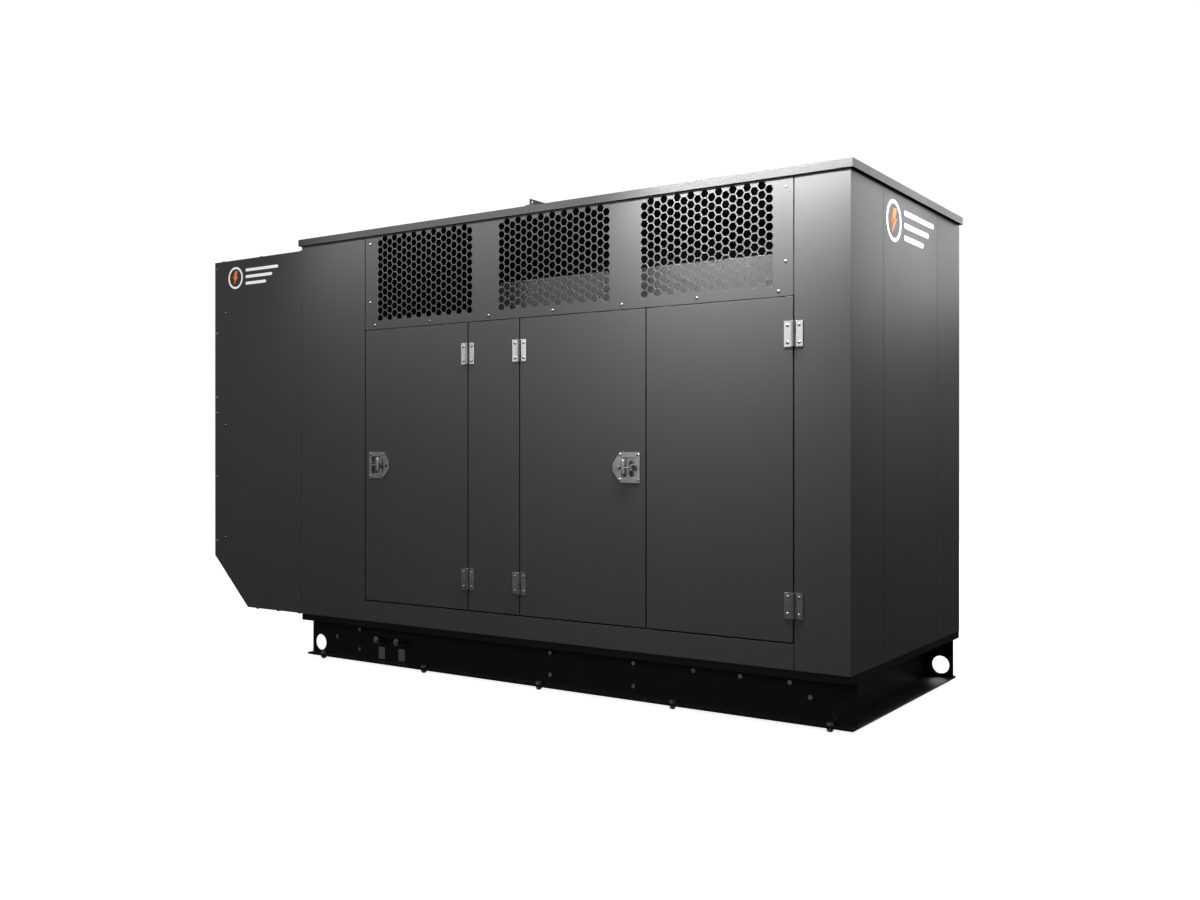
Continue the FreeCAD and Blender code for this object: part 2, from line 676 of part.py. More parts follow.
def rear_skins():
    """The rear side: two corners, a vent panel and three screwed service panels."""
    back = (y_rear - S.skin, y_rear)
    inner = edge_right + half_seam
    fold = y_rear - S.end_corner_rear + half_seam / 2
    outline = [(inner, y_rear), (x_right, y_rear), (x_right, fold), (x_right - S.skin, fold),
               (x_right - S.skin, y_rear - S.skin), (inner, y_rear - S.skin)]
    bent = plate("XY_Plane", outline, z_floor, z_under_roof)
    flat = block((x_left, edge_left - half_seam), back, (z_floor, z_under_roof))
    piece("rear_corner_panels", group(bent, flat))
    wide = (edge_right - edge_left) / 3
    panels = []
    for number in range(3):
        left = edge_left + wide * number
        span = (left + half_seam / 2, left + wide - half_seam / 2)
        panel = block(span, back, (z_floor, z_lintel - half_seam / 2))
        spots = rear_screw_spots(left, wide)
        if number == 2:
            spots = spots + [(fuel_x(), z_floor + S.fuel_rise)]
            radii = [S.screw_hole] * 6 + [S.fuel_outer + 0.5]
        else:
            radii = [S.screw_hole] * 6
        holes = [rod("y", radius, y_rear - S.skin - 1, y_rear + 1, u, v)
                 for (u, v), radius in zip(spots, radii)]
        panels.append(cut(panel, *holes))
    piece("rear_service_panels", group(*panels))


def rear_screw_spots(left, wide):
    """Six screws round one service panel."""
    middle = (z_floor + z_lintel) / 2
    spots = []
    for along in (left + S.rear_screw_side, left + wide - S.rear_screw_side):
        for height in (z_floor + S.rear_screw_end, middle, z_lintel - S.rear_screw_end):
            spots.append((along, height))
    return spots


def end_panel():
    span = (y_front + S.end_corner_front + half_seam / 2, y_rear - S.end_corner_rear - half_seam / 2)
    flat = block((x_right - S.skin, x_right), span, (z_floor, z_under_roof))
    return piece("end_panel", flat)


# ---------------------------------------------------------------- roof
def roof_half(label, low, high, open_side):
    """An inverted tray with a fascia on three sides; the fourth side meets the other half."""
    out_y = y_rear + S.overhang
    whole = block((low, high), (-out_y, out_y), (z_eave, z_top))
    left = low - 1 if open_side < 0 else low + S.skin
    right = high + 1 if open_side > 0 else high - S.skin
    in_y = out_y - S.skin
    hollow = block((left, right), (-in_y, in_y), (z_eave - 1, z_under_roof))
    return piece(label, cut(whole, hollow))


def roof():
    """Two halves that meet at mid length under a capping angle with an upright rib."""
    roof_half("roof_left", x_left - S.overhang, sized(-0.5), 1)
    roof_half("roof_right", sized(0.5), x_right + S.overhang, -1)
    reach = y_rear + S.overhang
    foot = block((-S.roof_rib_width / 2, S.roof_rib_width / 2), (-reach, reach),
                 (z_top, z_top + S.roof_rib_skin))
    rib = block((-S.roof_rib_skin / 2, S.roof_rib_skin / 2), (-reach, reach),
                (z_top, z_top + S.roof_rib_height))
    eyes = [rod("x", S.eye_radius, -S.roof_rib_skin, S.roof_rib_skin, side * (reach - S.eye_from_end),
                z_top + S.roof_rib_height - S.eye_drop) for side in (-1, 1)]
    piece("roof_seam_cap", cut(fused(foot, rib), *eyes))


# ---------------------------------------------------------------- discharge hood
# Heights of the side panel screws, as shares of the upright part of the hood's end.
OUTER_SCREW_SHARES = (0.05, 0.27, 0.487, 0.539, 0.758, 0.976)
INNER_SCREW_SHARES = (0.064, 0.445, 0.826)


def hood_outline(left, right, low, high):
    """Side view of the hood (along X, height), with its lower outer corner cut off."""
    return [(left + S.hood_cut_long, low), (right, low), (right, high), (left, high),
            (left, z_floor + S.hood_cut_high)]


def hood_screw_spots():
    """Screws in a side panel: two columns, near the end and further in."""
    outer = x_hood + S.hood_screw_edge
    inner = x_hood + S.hood_screw_inner
    low = z_floor + S.hood_cut_high
    tall = S.hood_height - S.hood_cut_high
    spots = [(outer, low + tall * share) for share in OUTER_SCREW_SHARES]
    spots += [(inner, low + tall * share) for share in INNER_SCREW_SHARES]
    return spots


def hood_side(side):
    """One side panel with a flange that bolts to the end of the enclosure."""
    outer = side * y_rear
    inner = outer - side * S.skin
    span = (outer, inner) if side < 0 else (inner, outer)
    top = z_floor + S.hood_height
    outline = hood_outline(x_hood, x_left - S.hood_joint, z_floor, top)
    spots = [(u, v, S.screw_hole) for u, v in hood_screw_spots()]
    skin = plate("XZ_Plane", outline, span[0], span[1], spots)
    start = outer - side * S.skin / 2
    tip = outer - side * S.hood_flange
    reach = (start, tip) if side < 0 else (tip, start)
    return fused(skin, block((x_left - S.hood_joint, x_left), reach, (z_floor, top)))


def hood():
    """Side panels, two stacked end panels over a sloped floor, and the outlet grille."""
    piece("hood_side_panels", group(hood_side(-1), hood_side(1)))
    inner = y_rear - S.skin
    low = z_floor + S.hood_cut_high
    top = z_floor + S.hood_height
    middle = low + (top - low) / 2
    panels = []
    for base, head in ((low, middle - S.hood_gap), (middle + S.hood_gap, top)):
        panels.append(block((x_hood, x_hood + S.skin), (-inner, inner), (base, head)))
        for side in (-1, 1):
            span = (-inner, -inner + S.skin) if side < 0 else (inner - S.skin, inner)
            flange = block((x_hood + S.skin, x_hood + S.hood_fold), span, (base, head))
            spots = [spot for spot in hood_screw_spots()[:len(OUTER_SCREW_SHARES)]
                     if base.number < spot[1].number < head.number]
            panels[-1] = fused(panels[-1], drilled(flange, spots, "y", span[0] - 1, span[1] + 1))
    turn_x = x_hood + S.hood_cut_long
    slope = [(x_hood, low - S.hood_gap), (turn_x, z_floor), (x_left - S.hood_joint, z_floor),
             (x_left - S.hood_joint, z_floor + S.skin), (turn_x + 1, z_floor + S.skin),
             (x_hood + S.skin * 1.4, low - S.hood_gap)]
    panels.append(plate("XZ_Plane", slope, -inner, inner))
    piece("hood_end_panels", group(*panels))
    span = (x_hood + S.skin, x_left - S.hood_joint)
    level = (top - S.grille_depth, top)
    side_in = inner - S.skin
    grille = [block((along, along + S.grille_bar), (-side_in, side_in), level)
              for along in (span[0], span[1] - S.grille_bar)]
    count = round((2 * side_in / S.grille_pitch).number)
    pitch = (2 * side_in - S.grille_bar) / count
    for number in range(count + 1):
        across = -side_in + pitch * number
        grille.append(block((span[0] + S.grille_bar, span[1] - S.grille_bar),
                            (across, across + S.grille_bar), level))
    piece("hood_top_grille", group(*grille))


# ---------------------------------------------------------------- fasteners
def dome_screw(place, direction, length):
    """A domed head standing on a face, with its shank running back from it."""
    head = S.screw_head.number
    dome = S.screw_dome.number
    ball = (head * head + dome * dome) / (2 * dome)
    sphere = Part.makeSphere(ball, FreeCAD.Vector(0, 0, dome - ball))
    top = sphere.common(Part.makeCylinder(head, dome + 1))
    shank = Part.makeCylinder(S.screw_shank.number, length.number, FreeCAD.Vector(0, 0, -length.number))
    screw = top.fuse(shank).removeSplitter()
    turn = FreeCAD.Rotation(FreeCAD.Vector(0, 0, 1), FreeCAD.Vector(*direction))
    screw.Placement = FreeCAD.Placement(vector(*place), turn)
    return screw


def panel_screws():
    screws = []
    length = 2 * S.skin
    front_length = S.skin + S.frame_sheet
    for spot in vent_screw_spots():
        screws.append(dome_screw((spot[0], y_front, spot[1]), (0, -1, 0), front_length))
        screws.append(dome_screw((spot[0], y_rear, spot[1]), (0, 1, 0), front_length))
    for spot in hood_screw_spots():
        screws.append(dome_screw((spot[0], y_front, spot[1]), (0, -1, 0), length))
        screws.append(dome_screw((spot[0], y_rear, spot[1]), (0, 1, 0), length))
    wide = (edge_right - edge_left) / 3
    for number in range(3):
        for spot in rear_screw_spots(edge_left + wide * number, wide):
            screws.append(dome_screw((spot[0], y_rear, spot[1]), (0, 1, 0), front_length))
    return piece("panel_screws", made(Part.makeCompound(screws)))


# ---------------------------------------------------------------- hinges
def hinge_leaf(edge, side, middle, with_pin):
    """One leaf on the X side given; the fixed leaf has the lower knuckle and the pin."""
    low = middle - S.hinge_tall / 2
    high = middle + S.hinge_tall / 2
    near = y_front - S.leaf_thick
    clear = S.knuckle_radius + S.leaf_clearance
    inner = edge + side * clear
    outer = edge + side * S.leaf_wide
    span = (inner, outer) if side > 0 else (outer, inner)
    leaf = block(span, (near, y_front), (low, high))
    if with_pin:
        knuckle_span = (low, middle - 0.3)
    else:
        knuckle_span = (middle + 0.3, high)
    web_end = edge + side * (clear + 1)
    web = (edge, web_end) if side > 0 else (web_end, edge)
    bridge = block(web, (near, y_front - 0.25), knuckle_span)
    knuckle = rod("z", S.knuckle_radius, knuckle_span[0], knuckle_span[1], edge, hinge_y)
    solid = fused(leaf, bridge, knuckle)
    if with_pin:
        pin = rod("z", S.pin_radius, middle - 1, high - 4, edge, hinge_y)
        solid = fused(solid, pin)
    else:
        hole = S.pin_radius + S.pin_clearance
        solid = cut(solid, rod("z", hole, middle - 1, high - 3.5, edge, hinge_y))
    along = edge + side * S.hinge_screw_wide / 2
    spots = [(along, middle - S.hinge_screw_tall / 2), (along, middle + S.hinge_screw_tall / 2)]
    return drilled(solid, spots, "y", near - 1, y_front + 1)


def leaf_screws(edge, side, middle):
    along = edge + side * S.hinge_screw_wide / 2
    length = S.leaf_thick + S.skin + 3
    return [dome_screw((along, y_front - S.leaf_thick, middle + sign * S.hinge_screw_tall / 2),
                       (0, -1, 0), length) for sign in (-1, 1)]


def hinge_set(edge, side, with_pin):
    """The leaves and screws on one side of a hinge line, at both heights."""
    solids = []
    for middle in hinge_heights():
        solids.append(hinge_leaf(edge, side, middle, with_pin))
        solids.append(made(Part.makeCompound(leaf_screws(edge, side, middle))))
    return solids


# ---------------------------------------------------------------- doors
# Each door: name, its two edges along X, and the side that its hinges are on (+1 is towards +X).
DOORS = (
    ("door_left", edge_left, edge_post_left, 1),
    ("door_centre", edge_post_right, edge_meeting, -1),
    ("door_right", edge_meeting, edge_right, 1),
)


def latch_hub(free_edge, towards_hinge):
    """Where a latch spindle passes through its door (along X, height)."""
    along = free_edge + towards_hinge * (half_seam + S.latch_inset)
    return along, z_sill + S.latch_rise


def slide_bolt_x():
    return edge_meeting + half_seam + S.bolt_inset


def door_pan(name, left, right, side):
    """A folded pan: outer skin, four returns and inner lips."""
    x_span = (left + half_seam, right - half_seam)
    z_span = (z_sill + half_seam, z_lintel - half_seam)
    back = y_front + S.door_depth
    pan = block(x_span, (y_front, back), z_span)
    x_in = (x_span[0] + S.door_sheet, x_span[1] - S.door_sheet)
    z_in = (z_span[0] + S.door_sheet, z_span[1] - S.door_sheet)
    cavity = block(x_in, (y_front + S.door_sheet, back - S.door_sheet), z_in)
    x_open = (x_span[0] + S.door_lip, x_span[1] - S.door_lip)
    z_open = (z_span[0] + S.door_lip, z_span[1] - S.door_lip)
    opening = block(x_open, (back - S.door_sheet - 1, back + 1), z_open)
    hinge_edge = right if side > 0 else left
    free_edge = left if side > 0 else right
    tools = [cavity, opening]
    for u, v in hinge_screw_spots(hinge_edge, -side):
        tools.append(rod("y", S.screw_hole, y_front - 1, y_front + S.door_sheet + 1, u, v))
    if name == "door_right":
        return door_right_pan(pan, tools, z_span, back)
    hub_x, hub_z = latch_hub(free_edge, side)
    dish_near = hub_x - side * (S.hub_radius + 1)
    dish_far = dish_near + side * S.dish_wide
    span = (dish_near, dish_far) if side > 0 else (dish_far, dish_near)
    tools.append(block(span, (y_front - 1, y_front + S.door_sheet + 1),
                       (hub_z - S.dish_tall / 2, hub_z + S.dish_tall / 2)))
    for u, v in latch_screw_spots(hub_x, hub_z, side):
        tools.append(rod("y", S.screw_hole, y_front - 1, y_front + S.door_sheet + 1, u, v))
    lock_x = hub_x + side * (S.lock_inset - S.hub_inset)
    tools.append(rod("y", S.lock_radius + 0.3, y_front - 1, y_front + S.door_sheet + 1, lock_x, hub_z))
    return piece(name + "_pan", cut(pan, *tools))


def guide_heights():
    """Middles of the four guides of the slide bolts: two for the lower, two for the upper."""
    low = z_sill + half_seam + S.door_sheet
    high = z_lintel - half_seam - S.door_sheet
    near = S.guide_end
    far = S.guide_end + S.guide_apart
    return (low + near, low + far, high - far, high - near)


def door_right_pan(pan, tools, z_span, back):
    """The pan of the door without a latch: bolt guides, bolt holes and the keeper of its neighbour."""
    along = slide_bolt_x()
    depth = y_front + S.bolt_set_in
    hole = S.bolt_radius + S.bolt_clearance
    guides = []
    for middle in guide_heights():
        guides.append(block((along - S.guide_half, along + S.guide_half),
                            (y_front + S.door_sheet, depth + S.guide_half),
                            (middle - S.guide_tall / 2, middle + S.guide_tall / 2)))
    through = rod("z", hole, z_span[0] - 1, z_span[1] + 1, along, depth)
    hub_z = latch_hub(edge_meeting, -1)[1]
    keeper_face = y_front + stop_depth + S.frame_sheet
    keeper = block((edge_meeting + half_seam, edge_meeting + half_seam + S.door_lip),
                   (back - S.door_sheet, keeper_face), (hub_z - S.keeper_half, hub_z + S.keeper_half))
    shell = cut(pan, *tools)
    return piece("door_right_pan", fused(cut(fused(shell, *guides), through), keeper))


def slide_bolts():
    """A bolt that rises into the header and one that drops into the sill, both drawn back."""
    along = slide_bolt_x()
    depth = y_front + S.bolt_set_in
    low_end = z_sill + half_seam + S.bolt_setback
    high_end = z_lintel - half_seam - S.bolt_setback
    shapes = (("slide_bolt_bottom", low_end, 1), ("slide_bolt_top", high_end, -1))
    for label, end, inward in shapes:
        tail = end + inward * S.bolt_length
        span = (end, tail) if inward > 0 else (tail, end)
        stem = rod("z", S.bolt_radius, span[0], span[1], along, depth)
        knob_z = tail - inward * S.knob_inset
        knob = rod("y", S.bolt_radius - 1, depth, y_front + S.door_depth + 1, along, knob_z)
        piece(label, fused(stem, knob))


# ---------------------------------------------------------------- latches
def latch_screw_spots(hub_x, hub_z, side):
    near = hub_x - side * (S.hub_inset - 8)
    far = hub_x + side * (S.plate_wide - S.hub_inset)
    spots = []
    for along in (near, far):
        for drop in (-1, 1):
            spots.append((along, hub_z + drop * (S.plate_tall / 2 - 9)))
    return spots


def latch(name, free_edge, side):
    """A folding T-handle latch: dished plate with lock, spindle with cam, and the handle."""
    hub_x, hub_z = latch_hub(free_edge, side)
    front = y_front - S.plate_thick
    near = hub_x - side * S.hub_inset
    far = near + side * S.plate_wide
    nose = far + side * S.plate_nose
    low = hub_z - S.plate_tall / 2
    high = hub_z + S.plate_tall / 2
    outline = [(near, low), (far, low), (nose, hub_z - 12), (nose, hub_z + 12), (far, high), (near, high)]
    face = plate("XZ_Plane", outline, front, y_front)
    dish_near = hub_x - side * (S.hub_radius + 1)
    dish_far = dish_near + side * S.dish_wide
    span = (dish_near, dish_far) if side > 0 else (dish_far, dish_near)
    margin = 0.5
    span = (span[0] + margin, span[1] - margin)
    tall = (hub_z - S.dish_tall / 2 + margin, hub_z + S.dish_tall / 2 - margin)
    floor = y_front + S.dish_depth
    cup = block(span, (y_front - 0.5, floor), tall)
    wall = 1.5
    hollow = block((span[0] + wall, span[1] - wall), (front - 1, floor - wall),
                   (tall[0] + wall, tall[1] - wall))
    bore = S.spindle_radius + S.spindle_clearance
    lock_x = hub_x + side * (S.lock_inset - S.hub_inset)
    lock = rod("y", S.lock_radius, front - S.lock_proud, y_front + 14, lock_x, hub_z)
    slot = block((lock_x - 0.8, lock_x + 0.8), (front - S.lock_proud - 1, front - S.lock_proud + 1.2),
                 (hub_z - 4, hub_z + 4))
    body = cut(fused(face, cup), hollow, rod("y", bore, front - 2, floor + 1, hub_x, hub_z))
    body = cut(fused(body, lock), slot)
    spots = latch_screw_spots(hub_x, hub_z, side)
    body = drilled(body, spots, "y", front - 1, y_front + 1)
    screws = [dome_screw((u, front, v), (0, -1, 0), S.plate_thick + S.door_sheet + 3) for u, v in spots]
    piece(name + "_plate", group(body, made(Part.makeCompound(screws))))
    latch_spindle(name, hub_x, hub_z, front)
    latch_handle(name, hub_x, hub_z, side)


def latch_spindle(name, hub_x, hub_z, front):
    """The turning hub with its two ears and cross pin outside, and the cam inside."""
    pivot_y = y_front - S.pivot_proud
    ear_half = S.stem_wide / 2 + 0.3
    cam_near = y_front + stop_depth + S.frame_sheet + S.cam_gap
    shaft = rod("y", S.spindle_radius, front - 1, cam_near + S.cam_thick, hub_x, hub_z)
    boss = rod("y", S.hub_radius, front - 5, front - 0.3, hub_x, hub_z)
    ears = []
    for side in (-1, 1):
        inner = hub_z + side * ear_half
        outer = inner + side * S.ear_thick
        tall = (inner, outer) if side > 0 else (outer, inner)
        ears.append(block((hub_x - 5, hub_x + 5), (pivot_y - 5, front - 4.5), tall))
    pin = rod("z", S.cross_pin, hub_z - ear_half - 1, hub_z + ear_half + 1, hub_x, pivot_y)
    cam = block((hub_x - S.cam_wide / 2, hub_x + S.cam_wide / 2), (cam_near, cam_near + S.cam_thick),
                (hub_z - S.cam_wide / 2, hub_z + S.cam_reach))
    piece(name + "_spindle", fused(shaft, boss, *ears, pin, cam))


def latch_handle(name, hub_x, hub_z, side):
    """A stem on the cross pin with a grip across its end, folded flat over the plate."""
    pivot_y = y_front - S.pivot_proud
    half = S.stem_thick / 2
    tip = hub_x + side * (S.grip_start + S.grip_wide / 2)
    run = (hub_x, tip) if side > 0 else (tip, hub_x)
    tall = (hub_z - S.stem_wide / 2, hub_z + S.stem_wide / 2)
    stem = block(run, (pivot_y - half, pivot_y + half), tall)
    eye = rod("z", half, tall[0], tall[1], hub_x, pivot_y)
    near = hub_x + side * S.grip_start
    far = near + side * S.grip_wide
    wide = (near, far) if side > 0 else (far, near)
    grip = block(wide, (pivot_y - S.grip_thick / 2, pivot_y + S.grip_thick / 2 - 1),
                 (hub_z - S.grip_tall / 2, hub_z + S.grip_tall / 2))
    hole = rod("z", S.cross_pin + S.pin_clearance, tall[0] - 1, tall[1] + 1, hub_x, pivot_y)
    piece(name + "_handle", cut(fused(stem, eye, grip), hole))


# ---------------------------------------------------------------- cooling
block_left = x_left + S.block_from_end
block_right = block_left + S.block_long
housing_right = block_right + S.housing_long
casing_right = housing_right + S.casing_long
pulley_low = block_left - S.pulley_wide - 15
fan_low = pulley_low - S.fan_neck_long - S.fan_wide
radiator_left = x_left + S.bulkhead_sheet
radiator_right = radiator_left + S.radiator_deep
silencer_z = z_floor + S.silencer_rise
silencer_left = radiator_right + 20


def radiator_bulkhead():
    """The end wall between the enclosure and the hood, open in front of the radiator core."""
    inner = y_rear - S.skin
    wall = block((x_left, x_left + S.bulkhead_sheet), (-inner, inner), (z_floor, z_under_roof))
    half = S.radiator_wide / 2 - S.window_side
    core = z_floor + S.tank_tall + S.window_end
    core_top = z_floor + S.radiator_tall - S.tank_tall - S.window_end
    opening = block((x_left - 1, x_left + S.bulkhead_sheet + 1), (-half, half), (core, core_top))
    pipe = rod("x", S.exhaust_radius + 0.5, x_left - 1, x_left + S.bulkhead_sheet + 1,
               S.silencer_back, silencer_z)
    piece("radiator_bulkhead", cut(wall, opening, pipe))


def radiator():
    """Core between a top and a bottom tank, side plates, and the filler neck."""
    half = S.radiator_wide / 2
    low = z_floor
    top = z_floor + S.radiator_tall
    core = block((radiator_left + S.core_inset, radiator_right - S.core_inset),
                 (-half + S.side_plate, half - S.side_plate),
                 (low + S.tank_tall, top - S.tank_tall))
    tanks = [block((radiator_left, radiator_right), (-half, half), span)
             for span in ((low, low + S.tank_tall), (top - S.tank_tall, top))]
    sides = [block((radiator_left, radiator_right), span, (low, top))
             for span in ((-half, -half + S.side_plate), (half - S.side_plate, half))]
    seat = top + S.neck_high
    neck = rod("z", S.cap_radius - 8, top, seat, cap_x(), 0)
    piece("radiator", fused(core, *tanks, *sides, neck))
    rim = rod("z", S.cap_radius, seat, seat + S.rim_high, cap_x(), 0)
    reach = S.cap_radius + S.wing_half
    wings = block((cap_x() - S.wing_half, cap_x() + S.wing_half), (-reach, reach),
                  (seat + S.rim_high / 5, seat + S.rim_high * 0.8))
    piece("radiator_cap", fused(rim, wings))


def cap_x():
    return radiator_left + S.radiator_deep / 2


def fan_shroud():
    """A shallow box behind the radiator with a round opening for the fan."""
    half = S.radiator_wide / 2 - S.shroud_margin
    low = fan_z - S.shroud_tall / 2
    high = fan_z + S.shroud_tall / 2
    far = radiator_right + S.shroud_depth
    near = radiator_right - S.core_inset
    shell = block((near, far), (-half, half), (low, high))
    hollow = block((near - 1, far - S.shroud_sheet),
                   (-half + S.shroud_sheet, half - S.shroud_sheet),
                   (low + S.shroud_sheet, high - S.shroud_sheet))
    ring = rod("x", S.fan_radius + S.shroud_gap, far - S.shroud_sheet - 1, far + 1, 0, fan_z)
    piece("fan_shroud", cut(shell, hollow, ring))


def cooling_fan():
    """A hub with a belt pulley and pitched blades, running on a fixed spindle."""
    count = int(S.fan_blades.number)
    start = fan_low.number
    hub = Part.makeCylinder(S.fan_hub.number, S.fan_wide.number, FreeCAD.Vector(start, 0, 0),
                            FreeCAD.Vector(1, 0, 0))
    neck = Part.makeCylinder(S.fan_neck.number, S.fan_neck_long.number,
                             FreeCAD.Vector(start + S.fan_wide.number, 0, 0), FreeCAD.Vector(1, 0, 0))
    pulley = Part.makeCylinder(S.fan_pulley.number, S.pulley_wide.number,
                               vector(pulley_low, 0, 0), FreeCAD.Vector(1, 0, 0))
    blades = []
    middle = FreeCAD.Vector(start + S.fan_wide.number / 2, 0, 0)
    sunk = 8
    for number in range(count):
        blade = Part.makeBox(S.blade_thick.number, S.blade_wide.number,
                             (S.fan_radius - S.fan_hub).number + sunk,
                             middle + vector(-S.blade_thick / 2, -S.blade_wide / 2, S.fan_hub - sunk))
        blade.rotate(middle, FreeCAD.Vector(0, 0, 1), S.blade_pitch.number)
        blade.rotate(FreeCAD.Vector(), FreeCAD.Vector(1, 0, 0), 360 / count * number)
        blades.append(blade)
    ring = Part.makeCylinder(S.fan_radius.number, 200, FreeCAD.Vector(start - 50, 0, 0),
                             FreeCAD.Vector(1, 0, 0))
    fan = hub.fuse(blades).common(ring).fuse([neck, pulley])
    bore = Part.makeCylinder(S.fan_spindle.number + S.running_gap.number, 400,
                             FreeCAD.Vector(start - 50, 0, 0), FreeCAD.Vector(1, 0, 0))
    fan = made(fan.cut(bore))
    fan.setExpression("Placement.Base.z", fan_z.formula)
    piece("cooling_fan", fan)


def fan_belt():
    """A closed belt round the crank pulley and the fan pulley."""
    loops = []
    for extra in (S.belt_thick + S.belt_gap, S.belt_gap):
        lower = (S.crank_pulley + extra).number
        upper = (S.fan_pulley + extra).number
        rise = S.fan_rise.number
        tilt = math.asin((lower - upper) / rise)
        points = []
        for side, radius, level in ((1, lower, 0), (1, upper, rise), (-1, upper, rise), (-1, lower, 0)):
            points.append(FreeCAD.Vector(0, side * radius * math.cos(tilt), level + radius * math.sin(tilt)))
        edges = [
            Part.LineSegment(points[0], points[1]).toShape(),
            Part.Arc(points[1], FreeCAD.Vector(0, 0, rise + upper), points[2]).toShape(),
            Part.LineSegment(points[2], points[3]).toShape(),
            Part.Arc(points[3], FreeCAD.Vector(0, 0, -lower), points[0]).toShape(),
        ]
        loops.append(Part.Face(Part.Wire(edges)).extrude(vector(S.pulley_wide, 0, 0)))
    belt = made(loops[0].cut(loops[1]))
    belt.setExpression("Placement.Base.x", pulley_low.formula)
    belt.setExpression("Placement.Base.z", crank_z.formula)
    piece("fan_belt", belt)


def coolant_hoses():
    """Upper hose from the head to the top tank, lower hose from the bottom tank to the block."""
    top = z_floor + S.radiator_tall - S.tank_tall / 2
    low = z_floor + S.tank_tall / 2
    head_top = crank_z + S.block_high + S.head_high * S.head_share
    across = S.head_wide / 2 - S.hose_radius + 2
    drop_x = block_left + 60
    upper = pipe_shape([(radiator_right, -across, top), (drop_x, -across, top),
                        (drop_x, -across, head_top)], S.hose_radius, 60)
    side = S.block_wide / 2 + 55
    rise_x = block_left + S.hose_radius + 2
    inlet = crank_z - 60
    lower = pipe_shape([(radiator_right, side, low), (rise_x, side, low), (rise_x, side, inlet),
                        (rise_x, S.block_wide / 2, inlet)], S.hose_radius, 30)
    piece("coolant_hoses", made(Part.makeCompound([upper, lower])))


# ---------------------------------------------------------------- engine and alternator
def mount_places():
    """Middles of the four vibration mounts: under the engine front and the alternator rear."""
    reach = S.mount_spread / 2
    return [(along, side * reach) for along in (block_left + S.mount_front, casing_right - S.mount_rear)
            for side in (-1, 1)]


def feet(along, inner_y, top):
    """A pair of angle feet that stand on the mounts at one place along X."""
    low = z_floor + S.mount_tall
    solids = []
    for side in (-1, 1):
        outer_y = inner_y + S.foot_sheet
        upright = (inner_y, outer_y) if side > 0 else (-outer_y, -inner_y)
        tread_end = S.mount_spread / 2 + S.tread_past_mount
        tread = (inner_y, tread_end) if side > 0 else (-tread_end, -inner_y)
        run = (along - S.foot_half, along + S.foot_half)
        solids.append(block(run, upright, (low, top)))
        solids.append(block(run, tread, (low, low + S.tread_sheet)))
    return solids


def vibration_mounts():
    mounts = []
    for along, across in mount_places():
        top = z_floor + S.mount_tall
        mounts.append(rod("z", S.mount_radius, z_floor, top, along, across))
    piece("vibration_mounts", group(*mounts))


def engine_block():
    """Block with its sump, front feet, the bore of the crankshaft, and the fan spindle."""
    half = S.block_wide / 2
    low = crank_z - S.block_low
    high = crank_z + S.block_high
    body = block((block_left, block_right), (-half, half), (low, high))
    sump_half = S.sump_wide / 2
    sump = block((block_left + 25, block_right - 25), (-sump_half, sump_half), (low - S.sump_drop, low))
    bracket = block((block_left - 12, block_left), (-40, 40), (high - 60, fan_z + 40))
    spindle = rod("x", S.fan_spindle, fan_low - 6, block_left, 0, fan_z)
    bore = rod("x", S.journal_radius + S.running_gap, block_left - 20, block_right + 1, 0, crank_z)
    solids = [body, sump, bracket, spindle]
    solids += feet(block_left + S.mount_front, half, crank_z)
    piece("engine_block", cut(fused(*solids), bore))


def cylinder_head():
    """Head and rocker cover, with the exhaust manifold along its rear side."""
    half = S.head_wide / 2
    low = crank_z + S.block_high
    head = block((block_left + 8, block_right - 8), (-half, half), (low, low + S.head_high * S.head_share))
    cover = block((block_left + 25, block_right - 25), (-half + 60, half - 60),
                  (low + S.head_high * S.head_share, low + S.head_high))
    manifold = block((block_left + 60, block_right - 60), (half, S.silencer_back + 30),
                     (low + 20, low + 80))
    piece("cylinder_head", fused(head, cover, manifold))


def crank_line():
    """Crank pulley, crankshaft, flywheel, and the alternator's rotor on one line."""
    flywheel_low = block_right + S.flywheel_gap
    flywheel_high = flywheel_low + S.flywheel_thick
    rotor_low = housing_right + S.rotor_gap
    rotor_high = casing_right - S.rotor_end
    corners = [
        (pulley_low, 0), (pulley_low, S.crank_pulley),
        (pulley_low + S.pulley_wide, S.crank_pulley), (pulley_low + S.pulley_wide, S.journal_radius),
        (flywheel_low, S.journal_radius), (flywheel_low, S.flywheel_radius),
        (flywheel_high, S.flywheel_radius), (flywheel_high, S.journal_radius),
        (rotor_low, S.journal_radius), (rotor_low, S.rotor_radius),
        (rotor_high, S.rotor_radius), (rotor_high, S.tail_radius),
        (casing_right + S.tail_past, S.tail_radius), (casing_right + S.tail_past, 0),
    ]
    piece("crank_line", turned(corners, crank_z))


def flywheel_housing():
    inner = S.housing_radius - S.housing_wall
    ring = [(block_right, inner), (block_right, S.housing_radius), (housing_right, S.casing_radius),
            (housing_right, inner)]
    piece("flywheel_housing", turned(ring, crank_z))


def alternator_casing():
    """Stator and casing with the tail bearing in its end bell, and the rear feet."""
    inner = S.casing_radius - S.casing_wall
    stator = S.rotor_radius + S.stator_gap
    bearing = S.tail_radius + S.running_gap
    ring = [
        (housing_right, inner), (housing_right, S.casing_radius), (casing_right, S.casing_radius),
        (casing_right, bearing), (casing_right - S.bell_thick, bearing),
        (casing_right - S.bell_thick, inner), (casing_right - S.stator_end, inner),
        (casing_right - S.stator_end, stator), (housing_right + S.stator_start, stator),
        (housing_right + S.stator_start, inner),
    ]
    shell = turned(ring, crank_z)
    upright = S.block_wide / 2
    rear_feet = feet(casing_right - S.mount_rear, upright, crank_z - S.rotor_radius)
    piece("alternator_casing", fused(shell, *rear_feet))


